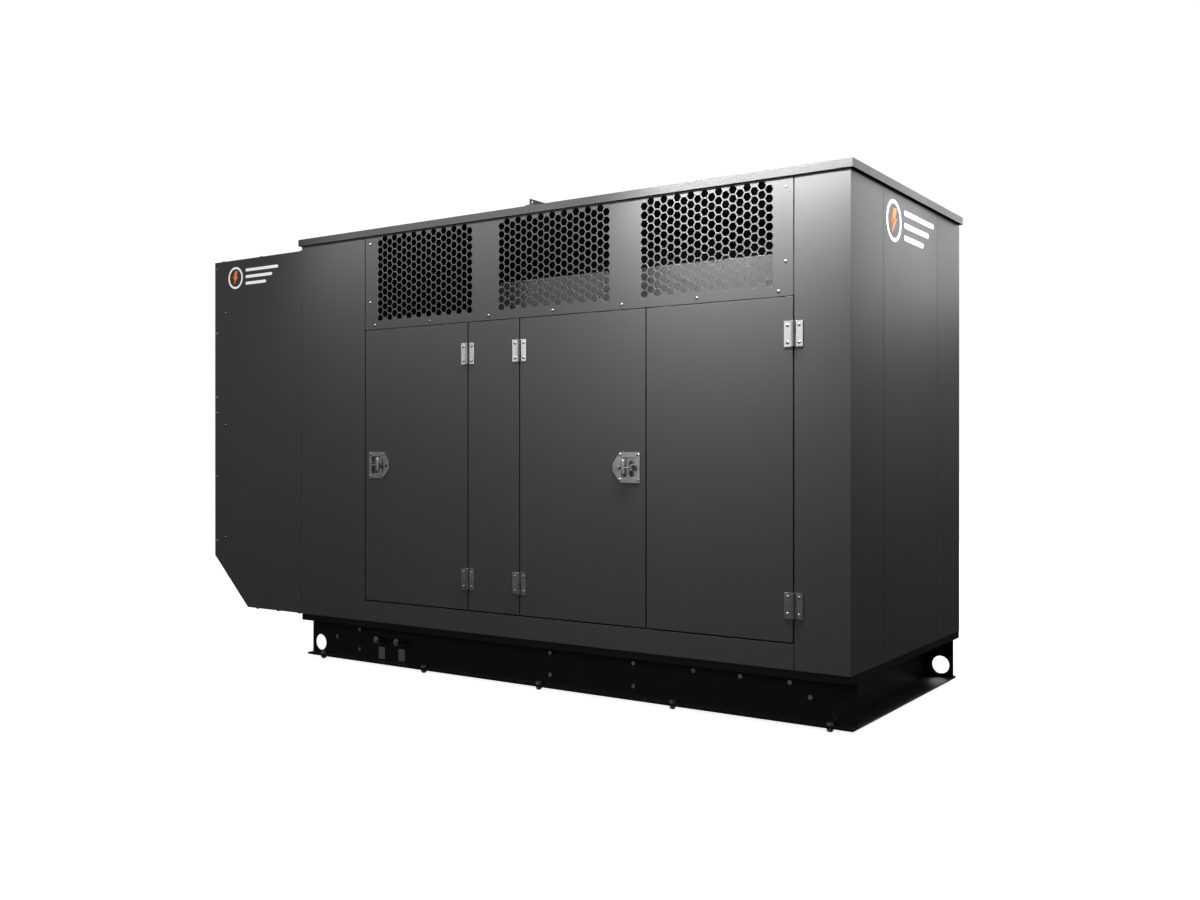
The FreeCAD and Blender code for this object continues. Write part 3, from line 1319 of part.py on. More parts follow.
def air_cleaner():
    """A round canister on a bracket at the front side of the head."""
    half = S.head_wide / 2
    middle_y = -half - S.cleaner_gap - S.cleaner_radius
    middle_z = crank_z + S.block_high + S.head_high * 0.4
    left = block_left + 120
    can = rod("x", S.cleaner_radius, left, left + S.cleaner_long, middle_y, middle_z)
    cap = rod("x", S.cleaner_radius + S.cleaner_rim, left + S.cleaner_long,
              left + S.cleaner_long + S.cleaner_cap, middle_y, middle_z)
    centre = left + S.cleaner_long / 2
    bracket = block((centre - 35, centre + 35), (-half - 2 * S.cleaner_gap, -half),
                    (middle_z - 25, middle_z + 20))
    piece("air_cleaner", fused(can, cap, bracket))


def exhaust_silencer():
    """Silencer over the engine, its inlet from the manifold, its tail pipe up into the hood."""
    back = S.silencer_back
    can = rod("x", S.silencer_radius, silencer_left, silencer_left + S.silencer_long, back, silencer_z)
    inlet_x = block_left + 200
    manifold_top = crank_z + S.block_high + 80
    inlet = rod("z", S.exhaust_radius, manifold_top, silencer_z - S.silencer_radius + 10, inlet_x, back)
    rise_x = x_hood + S.exhaust_rise
    route = [(silencer_left + 20, back, silencer_z), (rise_x, back, silencer_z),
             (rise_x, back, z_floor + S.hood_height - S.grille_depth - 12)]
    outer = pipe_shape(route, S.exhaust_radius, S.exhaust_bend)
    hollow = route[:2] + [(rise_x, back, route[2][2] + 5)]
    inner = pipe_shape(hollow, S.exhaust_radius - S.exhaust_wall, S.exhaust_bend)
    tail = made(outer.cut(inner))
    piece("exhaust_silencer", fused(can, inlet, tail))


# ---------------------------------------------------------------- electrics and fuel
control_left = edge_meeting + S.control_gap
control_front = y_front + S.control_setback


def battery():
    left = control_left + S.battery_shift
    front = y_front + S.frame_depth + S.battery_gap
    top = z_floor + S.battery_tall
    case = block((left, left + S.battery_long), (front, front + S.battery_wide),
                 (z_floor, top))
    posts = [rod("z", S.post_radius, top, top + S.post_high, along, front + S.battery_wide / 2)
             for along in (left + S.post_inset, left + S.battery_long - S.post_inset)]
    piece("battery", fused(case, *posts))


def control_box():
    """Control cabinet on two posts, with a breaker body and the bush of the stop button."""
    left, right = control_left, control_left + S.control_long
    low = z_floor + S.control_rise
    high = low + S.control_tall
    back = control_front + S.control_deep
    shell = block((left, right), (control_front, back), (low, high))
    wall = S.control_sheet
    hollow = block((left + wall, right - wall), (control_front + wall, back - wall),
                   (low + wall, high - wall))
    half_post = S.post_half
    posts = [block((along - half_post, along + half_post), (back - S.post_deep, back), (z_floor, low))
             for along in (left + half_post, right - half_post)]
    breaker_x, breaker_z = breaker_place()
    half_w = S.breaker_wide / 2 + S.breaker_side
    body = block((breaker_x - half_w, breaker_x + half_w),
                 (control_front - S.breaker_proud, control_front + wall),
                 (breaker_z - S.breaker_half, breaker_z + S.breaker_half))
    slot_half = S.breaker_wide / 2 + 1
    slot = block((breaker_x - slot_half, breaker_x + slot_half),
                 (control_front - S.breaker_proud - 1, control_front - 3),
                 (breaker_z - S.breaker_slot, breaker_z + S.breaker_slot))
    pin_hole = rod("x", S.toggle_pin + S.pin_clearance, breaker_x - slot_half - 6,
                   breaker_x + slot_half + 6, control_front - S.breaker_axle, breaker_z)
    stop_x, stop_z = stop_place()
    bore = rod("y", S.stop_stem + 0.1, control_front - 1, control_front + 4, stop_x, stop_z)
    piece("control_box", cut(fused(cut(shell, hollow), *posts, body), slot, pin_hole, bore))


def breaker_place():
    return control_left + S.control_long * 0.25, z_floor + S.control_rise + S.control_tall * 0.45


def stop_place():
    high = z_floor + S.control_rise + S.control_tall
    return control_left + S.control_long - S.stop_inset, high - S.stop_drop


def breaker_handle():
    """A toggle on a cross pin, standing straight out in its tripped position."""
    along, height = breaker_place()
    half = S.breaker_wide / 2
    centre = control_front - S.breaker_axle
    root = rod("x", 8, along - half, along + half, centre, height)
    pin = rod("x", S.toggle_pin, along - half - 6, along + half + 6, centre, height)
    lever = block((along - half, along + half), (centre - S.breaker_long, centre),
                  (height - 5, height + 5))
    piece("breaker_handle", fused(root, pin, lever))


def emergency_stop_button():
    """A mushroom button on a stem, held by a collar behind the panel."""
    along, height = stop_place()
    face = control_front
    head_back = face - S.stop_travel - 2
    head = rod("y", S.stop_button, head_back - 14, head_back, along, height)
    stem = rod("y", S.stop_stem, head_back - 1, face + 12, along, height)
    collar = rod("y", S.stop_stem + 4, face + 3.3, face + 12, along, height)
    piece("emergency_stop_button", fused(head, stem, collar))


def fuel_x():
    return x_right - S.fuel_from_end


def fuel_train():
    """Inlet coupling through the rear panel, regulator on a foot, and the line to the engine."""
    height = z_floor + S.fuel_rise
    along = fuel_x()
    half = S.regulator_half
    back = y_rear - S.fuel_length
    middle = back - S.regulator_deep / 2
    end = y_rear + S.fuel_proud
    coupling = cut(rod("y", S.fuel_outer, back, end, along, height),
                   rod("y", S.fuel_bore, back + S.fuel_blank, end + 1, along, height))
    regulator = block((along - half, along + half), (back - S.regulator_deep, back),
                      (height - half, height + half))
    dome = rod("z", S.dome_radius, height + half, height + half + S.dome_tall, along, middle)
    foot = block((along - S.regulator_foot, along + S.regulator_foot),
                 (middle - S.regulator_foot, middle + S.regulator_foot), (z_floor, height - half))
    end_x = block_right - 80
    line = made(pipe_shape([(along - half, middle, height), (end_x, middle, height),
                            (end_x, middle, crank_z + 60), (end_x, S.block_wide / 2, crank_z + 60)],
                           S.fuel_line, S.fuel_bend))
    piece("fuel_train", group(coupling, regulator, dome, foot, line))


def intake_baffle():
    """A low baffle on the header behind two vent fields, and one that hangs from the roof."""
    back = y_front + S.frame_depth
    base = z_lintel + half_seam + S.frame_sheet
    left = (edge_left + edge_right) / 2 - S.field_pitch / 2
    standing = block((left, edge_right), (back - S.baffle_sheet, back), (base, base + S.baffle_tall))
    behind = y_rear - S.baffle_from_rear
    hanging = block((edge_left, edge_right), (behind - S.baffle_sheet, behind),
                    (z_under_roof - S.baffle_hang, z_under_roof))
    piece("intake_baffle", group(standing, hanging))


# ---------------------------------------------------------------- assembly
def build():
    base_rail("base_rail_front", -1)
    base_rail("base_rail_rear", 1)
    base_cross_members()
    base_tray()
    base_bolts()
    drain_fittings()
    front_right_corner_panel()
    front_left_corner_panel()
    front_centre_post()
    front_sill()
    vent_panels()
    front_door_frame()
    door_seals()
    rear_skins()
    end_panel()
    roof()
    hood()
    panel_screws()
    fixed_leaves = []
    for name, left, right, side in DOORS:
        hinge_edge = right if side > 0 else left
        free_edge = left if side > 0 else right
        door_pan(name, left, right, side)
        fixed_leaves += hinge_set(hinge_edge, side, True)
        piece(name + "_hinge_leaves", group(*hinge_set(hinge_edge, -side, False)))
        if name != "door_right":
            latch("latch_" + name.split("_")[1], free_edge, side)
    piece("frame_hinge_leaves", group(*fixed_leaves))
    slide_bolts()
    radiator_bulkhead()
    radiator()
    fan_shroud()
    cooling_fan()
    fan_belt()
    coolant_hoses()
    vibration_mounts()
    engine_block()
    cylinder_head()
    crank_line()
    flywheel_housing()
    alternator_casing()
    air_cleaner()
    exhaust_silencer()
    battery()
    control_box()
    breaker_handle()
    emergency_stop_button()
    fuel_train()
    intake_baffle()


def check_document():
    """Stop on any object that failed and on any sub-part without a sound shape."""
    for thing in doc.Objects:
        if {"Invalid", "Error"} & set(thing.State):
            raise RuntimeError(f"{thing.Label} failed: {thing.State}")
    for solid in PIECES:
        if solid.Shape.isNull() or not solid.Shape.isValid() or not solid.Shape.Solids:
            raise RuntimeError(f"{solid.Label} has no sound shape")


def write_parts():
    os.makedirs("parts", exist_ok=True)
    for solid in PIECES:
        solid.Shape.exportStep(os.path.join("parts", solid.Label + ".step"))


build()
doc.recompute()
check_document()
write_parts()
print(len(PIECES), "sub-parts,", sum(len(solid.Shape.Solids) for solid in PIECES), "solids")
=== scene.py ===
import json
import math

import bpy
import numpy as np
from bpy.props import FloatProperty, FloatVectorProperty, IntProperty, PointerProperty
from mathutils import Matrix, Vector


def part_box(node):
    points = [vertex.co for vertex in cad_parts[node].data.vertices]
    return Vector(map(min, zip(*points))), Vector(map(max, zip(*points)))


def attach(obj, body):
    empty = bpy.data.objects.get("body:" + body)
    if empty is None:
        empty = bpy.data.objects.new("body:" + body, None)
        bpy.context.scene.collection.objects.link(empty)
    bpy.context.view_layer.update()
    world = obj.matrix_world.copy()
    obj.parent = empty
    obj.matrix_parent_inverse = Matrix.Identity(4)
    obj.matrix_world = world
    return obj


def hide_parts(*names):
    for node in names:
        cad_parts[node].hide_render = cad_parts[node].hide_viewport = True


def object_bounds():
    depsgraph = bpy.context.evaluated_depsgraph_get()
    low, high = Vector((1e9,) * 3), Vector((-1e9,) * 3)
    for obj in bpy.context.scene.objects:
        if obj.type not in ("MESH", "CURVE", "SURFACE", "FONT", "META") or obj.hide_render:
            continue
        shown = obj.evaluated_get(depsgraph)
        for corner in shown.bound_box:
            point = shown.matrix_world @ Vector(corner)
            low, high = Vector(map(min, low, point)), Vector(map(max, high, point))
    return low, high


bl_info = {
    "name": "Standby Generator Looks",
    "version": (1, 0, 0),
    "blender": (4, 5, 0),
    "location": "3D View > Sidebar > Generator",
    "description": "Finishes and detailed pieces of an enclosed standby generator",
    "category": "Object",
}

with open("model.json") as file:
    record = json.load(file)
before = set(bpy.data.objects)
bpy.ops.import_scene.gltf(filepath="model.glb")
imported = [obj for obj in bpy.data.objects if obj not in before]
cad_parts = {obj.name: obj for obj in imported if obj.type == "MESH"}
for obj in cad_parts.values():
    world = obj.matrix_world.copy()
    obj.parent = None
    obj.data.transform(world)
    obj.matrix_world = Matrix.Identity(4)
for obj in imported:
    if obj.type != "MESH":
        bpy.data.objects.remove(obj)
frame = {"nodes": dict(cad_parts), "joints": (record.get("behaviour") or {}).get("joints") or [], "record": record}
CAD_BOX = [list(corner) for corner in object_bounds()]
MM = 0.001


# ---------------------------------------------------------------- settings
class GeneratorFinish(bpy.types.PropertyGroup):
    """Colours and sheen of the finishes."""
    charcoal: FloatVectorProperty(
        name="Charcoal", description="Powder coat of the enclosure and the hood",
        default=(0.052, 0.052, 0.0535), subtype="COLOR", min=0, max=1)
    roof: FloatVectorProperty(
        name="Roof", description="Powder coat of the roof and its fascia",
        default=(0.034, 0.034, 0.035), subtype="COLOR", min=0, max=1)
    base: FloatVectorProperty(
        name="Base", description="Paint of the channel base",
        default=(0.006, 0.006, 0.0065), subtype="COLOR", min=0, max=1)
    stainless: FloatVectorProperty(
        name="Stainless", description="Hinges, latches and screws",
        default=(0.42, 0.42, 0.425), subtype="COLOR", min=0, max=1)
    engine: FloatVectorProperty(
        name="Engine", description="Paint over the engine castings",
        default=(0.06, 0.068, 0.078), subtype="COLOR", min=0, max=1)
    mark_white: FloatVectorProperty(
        name="Mark White", description="White part of the badge",
        default=(0.78, 0.78, 0.78), subtype="COLOR", min=0, max=1)
    mark_orange: FloatVectorProperty(
        name="Mark Orange", description="Orange part of the badge",
        default=(0.86, 0.16, 0.012), subtype="COLOR", min=0, max=1)
    coat_roughness: FloatProperty(
        name="Coat Roughness", description="How matt the powder coat is",
        default=0.42, min=0.05, max=1, subtype="FACTOR")
    edge_radius: FloatProperty(
        name="Edge Radius", description="Radius that the sheet folds are shaded with",
        default=1.4 * MM, min=0, max=0.01, unit="LENGTH")


class GeneratorSizes(bpy.types.PropertyGroup):
    """Sizes of the pieces that are added around the frame."""
    foam_depth: FloatProperty(
        name="Foam Depth", description="Thickness of the sound-absorbing foam",
        default=20 * MM, min=0.005, max=0.03, unit="LENGTH")
    foam_pitch: FloatProperty(
        name="Foam Pitch", description="Distance from one crest of the foam to the next",
        default=48 * MM, min=0.02, max=0.1, unit="LENGTH")
    badge_ring: FloatProperty(
        name="Badge Ring", description="Outer radius of the ring on the hood badge",
        default=46 * MM, min=0.01, max=0.2, unit="LENGTH")
    fan_twist: FloatProperty(
        name="Fan Twist", description="Turn of a fan blade from root to tip",
        default=math.radians(24), min=0, max=1.2, subtype="ANGLE")
    fan_blades: IntProperty(
        name="Fan Blades", description="Number of blades", default=8, min=3, max=12)
    fin_pitch: FloatProperty(
        name="Fin Pitch", description="Distance between the tubes of the radiator core",
        default=11 * MM, min=0.004, max=0.03, unit="LENGTH")


class GeneratorStage(bpy.types.PropertyGroup):
    """Camera and light."""
    eye: FloatVectorProperty(
        name="Eye", description="Place of the camera",
        default=(2.4367, -3.6879, 0.8225), subtype="TRANSLATION", unit="LENGTH")
    turn: FloatProperty(
        name="Turn", description="Heading of the camera, from +Y towards -X",
        default=math.radians(34.14), subtype="ANGLE")
    lens: FloatProperty(
        name="Lens", description="Focal length in millimetres", default=34.67, min=10, max=200)
    corner: FloatProperty(
        name="Corner Light", description="Power of the strip above the right front corner",
        default=11.0, min=0, unit="POWER")
    front: FloatProperty(
        name="Front Light", description="Power of the long strip above the doors",
        default=6.0, min=0, unit="POWER")
    end: FloatProperty(
        name="End Light", description="Power of the strip above the plain end",
        default=3.1, min=0, unit="POWER")
    fill: FloatProperty(
        name="Fill Light", description="Power of the wide soft box far in front",
        default=60.0, min=0, unit="POWER")
    back: FloatProperty(
        name="Back Light", description="Power of the wide soft box behind",
        default=150.0, min=0, unit="POWER")
    sky: FloatProperty(
        name="Sky", description="Brightness of the surroundings where they light the object",
        default=0.3, min=0, max=2)


# ---------------------------------------------------------------- surfaces
def mm(*points):
    """Points given in millimetres, in metres."""
    return MM * np.array(points, float)


def grid_faces(rows, columns, wrap=False):
    """Quads of a rows x columns grid of points; wrap joins the last column to the first."""
    reach = columns if wrap else columns - 1
    i, j = np.meshgrid(np.arange(rows - 1), np.arange(reach), indexing="ij")
    k = (j + 1) % columns
    near, far = i * columns, (i + 1) * columns
    return np.stack([near + j, near + k, far + k, far + j], -1).reshape(-1, 4)


def shell(rings, cap_high=True):
    """A closed skin over rings of points (count, around, 3), each end a fan to its middle."""
    count, around, _ = rings.shape
    middles = [rings[0].mean(0), rings[-1].mean(0)] if cap_high else [rings[0].mean(0)]
    points = np.vstack([rings.reshape(-1, 3), *middles])
    faces = [tuple(face) for face in grid_faces(count, around, wrap=True)]
    first = np.arange(around)
    second = (first + 1) % around
    last = (count - 1) * around
    faces += [(count * around, a, b) for a, b in zip(second.tolist(), first.tolist())]
    if cap_high:
        faces += [(count * around + 1, last + a, last + b)
                  for a, b in zip(first.tolist(), second.tolist())]
    return points, faces


def lathe_rings(profile, centre, axis, steps):
    """Each (distance along the axis, radius) of a profile, turned about the axis into a ring."""
    profile = np.asarray(profile, float)
    angle = np.linspace(0, 2 * math.pi, steps, endpoint=False)
    first, second = {"x": (1, 2), "y": (2, 0), "z": (0, 1)}[axis]
    rings = np.zeros((len(profile), steps, 3))
    rings[..., "xyz".index(axis)] = profile[:, :1]
    rings[..., first] = profile[:, 1:] * np.cos(angle)
    rings[..., second] = profile[:, 1:] * np.sin(angle)
    return rings + np.asarray(centre, float)


def lathe(profile, centre, axis, steps=48):
    """A profile turned about an axis through the centre, closed at both ends."""
    return shell(lathe_rings(profile, centre, axis, steps))


def rounded_outline(width, height, radius, steps=6):
    """A rectangle with round corners, as points (u, v) about its middle, counter-clockwise."""
    turn = np.linspace(0, math.pi / 2, steps)
    corners = []
    signs = ((1, 1), (-1, 1), (-1, -1), (1, -1))
    for number, (su, sv) in enumerate(signs):
        angle = turn + number * math.pi / 2
        middle = np.array([su * (width / 2 - radius), sv * (height / 2 - radius)])
        corners.append(middle + radius * np.stack([np.cos(angle), np.sin(angle)], -1))
    return np.vstack(corners)


def plate(outline, centre, normal, low, high, edge):
    """An outline carried along a normal from low to high, drawn in by a quarter round at each
    end."""
    outline = np.asarray(outline, float)
    middle = outline.mean(0)
    reach = np.abs(outline - middle).max()
    turn = np.linspace(0, math.pi / 2, 4)
    inset = edge * (1 - np.sin(turn))
    rise = edge * (1 - np.cos(turn))
    inset = np.concatenate([inset, inset[::-1]])
    level = np.concatenate([low + rise, (high - rise)[::-1]])
    share = 1 - inset / reach
    flat = middle + (outline - middle)[None] * share[:, None, None]
    u, v, w = frame_of(normal)
    rings = flat[..., :1] * u + flat[..., 1:] * v + level[:, None, None] * w
    return shell(rings + np.asarray(centre, float))


def frame_of(normal):
    """Two directions across a normal: (u, v, normal) is right-handed, and v is up if it can be."""
    w = np.asarray(normal, float)
    up = np.array([0, 0, 1.0]) if abs(w[2]) < 0.9 else np.array([0, 1.0, 0])
    u = np.cross(up, w)
    u /= np.linalg.norm(u)
    return u, np.cross(w, u), w


def cushion_box(low, high, radius):
    """A block whose vertical edges and top and bottom rims are rounded by one radius."""
    low, high = np.asarray(low, float), np.asarray(high, float)
    middle = (low + high) / 2
    size = high - low
    outline = rounded_outline(size[0], size[1], radius, 5)
    return plate(outline, (middle[0], middle[1], 0), (0, 0, 1), low[2], high[2], radius)


def tube(points, radius, steps):
    """A round section carried along a path of points; its frame turns as little as it can."""
    points = np.asarray(points, float)
    ahead = np.gradient(points, axis=0)
    ahead /= np.linalg.norm(ahead, axis=1)[:, None]
    spread = np.abs(ahead).sum(0)
    side = np.eye(3)[spread.argmin()]
    across = np.cross(ahead, side)
    across /= np.linalg.norm(across, axis=1)[:, None]
    over = np.cross(ahead, across)
    angle = np.linspace(0, 2 * math.pi, steps, endpoint=False)
    radius = np.broadcast_to(radius, len(points))[:, None, None]
    circle = (across[:, None] * np.cos(angle)[None, :, None]
              + over[:, None] * np.sin(angle)[None, :, None])
    return shell(points[:, None] + radius * circle)


def gathered(*parts):
    """Several (points, faces) as one."""
    points, faces, start = [], [], 0
    for part_points, part_faces in parts:
        points.append(np.asarray(part_points, float))
        faces += [tuple(int(corner) + start for corner in face) for face in part_faces]
        start += len(part_points)
    return np.vstack(points), faces


def new_object(name, shape):
    """A mesh object at the origin, made of (points, faces) in the row frame."""
    points, faces = shape
    mesh = bpy.data.meshes.new(name)
    mesh.from_pydata(points.tolist(), [], [list(map(int, face)) for face in faces])
    new = bpy.data.objects.new(name, mesh)
    bpy.context.scene.collection.objects.link(new)
    return new


def new_piece(name, shape, slot, body="enclosure", finish=None):
    """A smooth-shaded piece with its slot and body; finish names its material if not the slot's."""
    piece = new_object(name, shape)
    piece.data.validate()
    piece.data.materials.append(material_of(finish or slot))
    piece.data.shade_smooth()
    piece.data.set_sharp_from_angle(angle=math.radians(35))
    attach(piece, body)
    return piece


# ---------------------------------------------------------------- shader groups
def new_group(name, inputs, outputs):
    """A shader node group with named sockets; returns the tree and its two end nodes."""
    tree = bpy.data.node_groups.new(name, "ShaderNodeTree")
    kinds = {"colour": "NodeSocketColor", "number": "NodeSocketFloat", "vector": "NodeSocketVector"}
    for label, kind, default in inputs:
        socket = tree.interface.new_socket(label, in_out="INPUT", socket_type=kinds[kind])
        if default is not None:
            socket.default_value = default
    for label, kind in outputs:
        tree.interface.new_socket(label, in_out="OUTPUT", socket_type=kinds[kind])
    return tree, tree.nodes.new("NodeGroupInput"), tree.nodes.new("NodeGroupOutput")


def add(tree, kind, links=None, **values):
    """A node with some of its own values set and its inputs linked by name or number."""
    node = tree.nodes.new(kind)
    for name, value in values.items():
        setattr(node, name, value)
    for name, source in (links or {}).items():
        target = node.inputs[name]
        if hasattr(source, "is_output"):
            tree.links.new(source, target)
        else:
            target.default_value = source
    return node


def maths(tree, operation, *sources):
    """The result of a Math node on its sources."""
    return add(tree, "ShaderNodeMath", dict(enumerate(sources)), operation=operation).outputs[0]


def noise(tree, place, scale, detail):
    """The value of a Noise Texture."""
    links = {"Vector": place, "Scale": scale, "Detail": detail}
    return add(tree, "ShaderNodeTexNoise", links).outputs[0]


def powder_grain_group():
    """Orange peel of a powder coat: two sizes of noise added as height, and a slow mottle."""
    tree, start, end = new_group("Powder Grain", [
        ("Place", "vector", None), ("Grain Scale", "number", 700.0), ("Mottle Scale", "number", 3.0)],
        [("Height", "number"), ("Mottle", "number")])
    place, scale = start.outputs["Place"], start.outputs["Grain Scale"]
    fine = noise(tree, place, scale, 2.0)
    wide = noise(tree, place, maths(tree, "MULTIPLY", scale, 0.31), 1.0)
    tree.links.new(maths(tree, "ADD", fine, wide), end.inputs["Height"])
    tree.links.new(noise(tree, place, start.outputs["Mottle Scale"], 3.0), end.inputs["Mottle"])
    return tree


def brushed_grain_group():
    """Fine scratches: noise on coordinates stretched along one direction."""
    tree, start, end = new_group("Brushed Grain", [
        ("Place", "vector", None), ("Stretch", "vector", (1.0, 1.0, 0.03)),
        ("Scale", "number", 1400.0)], [("Height", "number"), ("Tone", "number")])
    place = start.outputs["Place"]
    drawn = add(tree, "ShaderNodeVectorMath", {0: place, 1: start.outputs["Stretch"]},
                operation="MULTIPLY")
    tree.links.new(noise(tree, drawn.outputs[0], start.outputs["Scale"], 3.0), end.inputs["Height"])
    tree.links.new(noise(tree, place, 22.0, 3.0), end.inputs["Tone"])
    return tree


def cast_grain_group():
    """Sand-cast skin: rounded cells mixed with noise."""
    tree, start, end = new_group("Cast Grain", [
        ("Place", "vector", None), ("Scale", "number", 260.0)],
        [("Height", "number"), ("Tone", "number")])
    place, scale = start.outputs["Place"], start.outputs["Scale"]
    cells = add(tree, "ShaderNodeTexVoronoi", {"Vector": place, "Scale": scale}, feature="SMOOTH_F1")
    grains = noise(tree, place, maths(tree, "MULTIPLY", scale, 0.5), 4.0)
    tree.links.new(maths(tree, "ADD", cells.outputs[0], grains), end.inputs["Height"])
    tree.links.new(noise(tree, place, 9.0, 4.0), end.inputs["Tone"])
    return tree


def dust_group():
    """A mask of dust that settles on faces that look up, broken by noise."""
    tree, start, end = new_group("Settled Dust", [
        ("Place", "vector", None), ("Amount", "number", 0.2), ("Scale", "number", 14.0)],
        [("Mask", "number")])
    normal = add(tree, "ShaderNodeNewGeometry").outputs["Normal"]
    upward = add(tree, "ShaderNodeSeparateXYZ", {0: normal}).outputs[2]
    upward = maths(tree, "MAXIMUM", upward, 0.0)
    cloud = noise(tree, start.outputs["Place"], start.outputs["Scale"], 5.0)
    broken = maths(tree, "MULTIPLY", maths(tree, "POWER", upward, 3.0), cloud)
    tree.links.new(maths(tree, "MULTIPLY", broken, start.outputs["Amount"]), end.inputs["Mask"])
    return tree


def off_middle(tree, start, strength):
    """How far the group's tone is from one half, times its strength."""
    away = maths(tree, "SUBTRACT", start.outputs["Tone"], 0.5)
    return maths(tree, "MULTIPLY", away, start.outputs[strength])


def tint_group():
    """A colour made lighter or darker by a tone about one half, then mixed towards dust."""
    tree, start, end = new_group("Tint", [
        ("Colour", "colour", (0.5, 0.5, 0.5, 1.0)), ("Tone", "number", 0.5),
        ("Strength", "number", 0.2),
        ("Dust Colour", "colour", (0.3, 0.28, 0.25, 1.0)), ("Dust", "number", 0.0)],
        [("Colour", "colour")])
    shift = off_middle(tree, start, "Strength")
    grown = add(tree, "ShaderNodeVectorMath", {0: start.outputs["Colour"]}, operation="SCALE")
    tree.links.new(maths(tree, "ADD", shift, 1.0), grown.inputs["Scale"])
    mixed = add(tree, "ShaderNodeMix", data_type="RGBA")
    tree.links.new(start.outputs["Dust"], mixed.inputs[0])
    tree.links.new(grown.outputs[0], mixed.inputs[6])
    tree.links.new(start.outputs["Dust Colour"], mixed.inputs[7])
    tree.links.new(mixed.outputs[2], end.inputs["Colour"])
    return tree


def spread_group():
    """A roughness that varies about its middle by a tone."""
    tree, start, end = new_group("Sheen Spread", [
        ("Middle", "number", 0.4), ("Spread", "number", 0.1), ("Tone", "number", 0.5)],
        [("Roughness", "number")])
    shift = off_middle(tree, start, "Spread")
    tree.links.new(maths(tree, "ADD", start.outputs["Middle"], shift), end.inputs["Roughness"])
    return tree


GROUP_BUILDERS = {"powder": powder_grain_group, "brushed": brushed_grain_group,
                  "cast": cast_grain_group, "dust": dust_group, "tint": tint_group,
                  "spread": spread_group}
GROUPS = {}


def place_group(tree, name, links):
    """One use of a shader group in a material, with its own values."""
    if name not in GROUPS:
        GROUPS[name] = GROUP_BUILDERS[name]()
    node = tree.nodes.new("ShaderNodeGroup")
    node.node_tree = GROUPS[name]
    for label, source in links.items():
        if hasattr(source, "is_output"):
            tree.links.new(source, node.inputs[label])
        else:
            node.inputs[label].default_value = source
    return node


# ---------------------------------------------------------------- materials
def start_material(name):
    """A new node material, its tree, its shader and its Object coordinates."""
    material = bpy.data.materials.new(name)
    material.use_nodes = True
    tree = material.node_tree
    place = add(tree, "ShaderNodeTexCoord").outputs["Object"]
    return material, tree, tree.nodes["Principled BSDF"], place


def opaque(colour):
    """A colour with full alpha."""
    return (*colour, 1.0)


def grained(name, grain, grain_values, colour, roughness, mottle, spread, dust, bump,
            metallic=0.0, sheen_level=0.5):
    """A material of one grain group: its tone shifts the colour and the sheen, and its height is a
    bump over rounded edges; bump is (strength, distance, edge radius)."""
    material, tree, shader, place = start_material(name)
    grain_node = place_group(tree, grain, {"Place": place, **grain_values})
    height, tone = grain_node.outputs[0], grain_node.outputs[1]
    dust_node = place_group(tree, "dust", {"Place": place, "Amount": dust})
    tinted = place_group(tree, "tint", {"Colour": opaque(colour), "Tone": tone, "Strength": mottle,
                                        "Dust": dust_node.outputs["Mask"]})
    sheen = place_group(tree, "spread", {"Middle": roughness, "Spread": spread, "Tone": tone})
    strength, distance, edge = bump
    rounded = add(tree, "ShaderNodeBevel", {"Radius": edge}, samples=4)
    raised = add(tree, "ShaderNodeBump", {"Strength": strength, "Distance": distance,
                                          "Height": height, "Normal": rounded.outputs[0]})
    shader.inputs["Metallic"].default_value = metallic
    shader.inputs["Specular IOR Level"].default_value = sheen_level
    tree.links.new(tinted.outputs[0], shader.inputs["Base Color"])
    tree.links.new(sheen.outputs[0], shader.inputs["Roughness"])
    tree.links.new(raised.outputs[0], shader.inputs["Normal"])
    return material


def powder_coat(name, colour, roughness, dust=0.12, grain=620.0, sheen_level=0.5):
    """Textured powder coat with a slow mottle and a little dust on top faces."""
    edge = bpy.context.scene.generator_finish.edge_radius
    return grained(name, "powder", {"Grain Scale": grain}, colour, roughness, 0.12, 0.08, dust,
                   (0.16, 0.3 * MM, edge), sheen_level=sheen_level)


def satin_metal(name, colour, roughness, stretch=(1.0, 1.0, 0.03), dust=0.0):
    """Brushed or rolled metal with scratches along one direction."""
    return grained(name, "brushed", {"Stretch": stretch}, colour, roughness, 0.35, 0.2, dust,
                   (0.12, 0.05 * MM, 0.5 * MM), metallic=1.0)


def casting(name, colour, roughness, metallic):
    """Sand-cast metal, bare or painted."""
    return grained(name, "cast", {}, colour, roughness, 0.5, 0.25, 0.25,
                   (0.35, 0.4 * MM, 2.5 * MM), metallic=metallic)


def moulded(name, colour, roughness, grain=900.0, strength=0.1):
    """Plastic or rubber with a fine moulded texture."""
    return grained(name, "powder", {"Grain Scale": grain}, colour, roughness, 0.25, 0.12, 0.2,
                   (strength, 0.2 * MM, 1.0 * MM))


def lit_face(name, colour, glow, roughness=0.15):
    """A lamp or a screen that gives off a little light of its own, or a badge print whose glow is painted light
    that lifts it brighter than its lighting.
    """
    material, tree, shader, place = start_material(name)
    grain_node = place_group(tree, "brushed", {"Place": place, "Stretch": (1.0, 1.0, 1.0),
                                               "Scale": 90.0})
    tinted = place_group(tree, "tint", {"Colour": opaque(colour), "Tone": grain_node.outputs["Tone"],
                                        "Strength": 0.1})
    tree.links.new(tinted.outputs[0], shader.inputs["Base Color"])
    tree.links.new(tinted.outputs[0], shader.inputs["Emission Color"])
    shader.inputs["Emission Strength"].default_value = glow
    shader.inputs["Roughness"].default_value = roughness
    return material


MATERIALS = {}


def material_of(slot):
    """The material of a slot, made when it is first asked for."""
    if slot not in MATERIALS:
        MATERIALS[slot] = make_material(slot)
    return MATERIALS[slot]


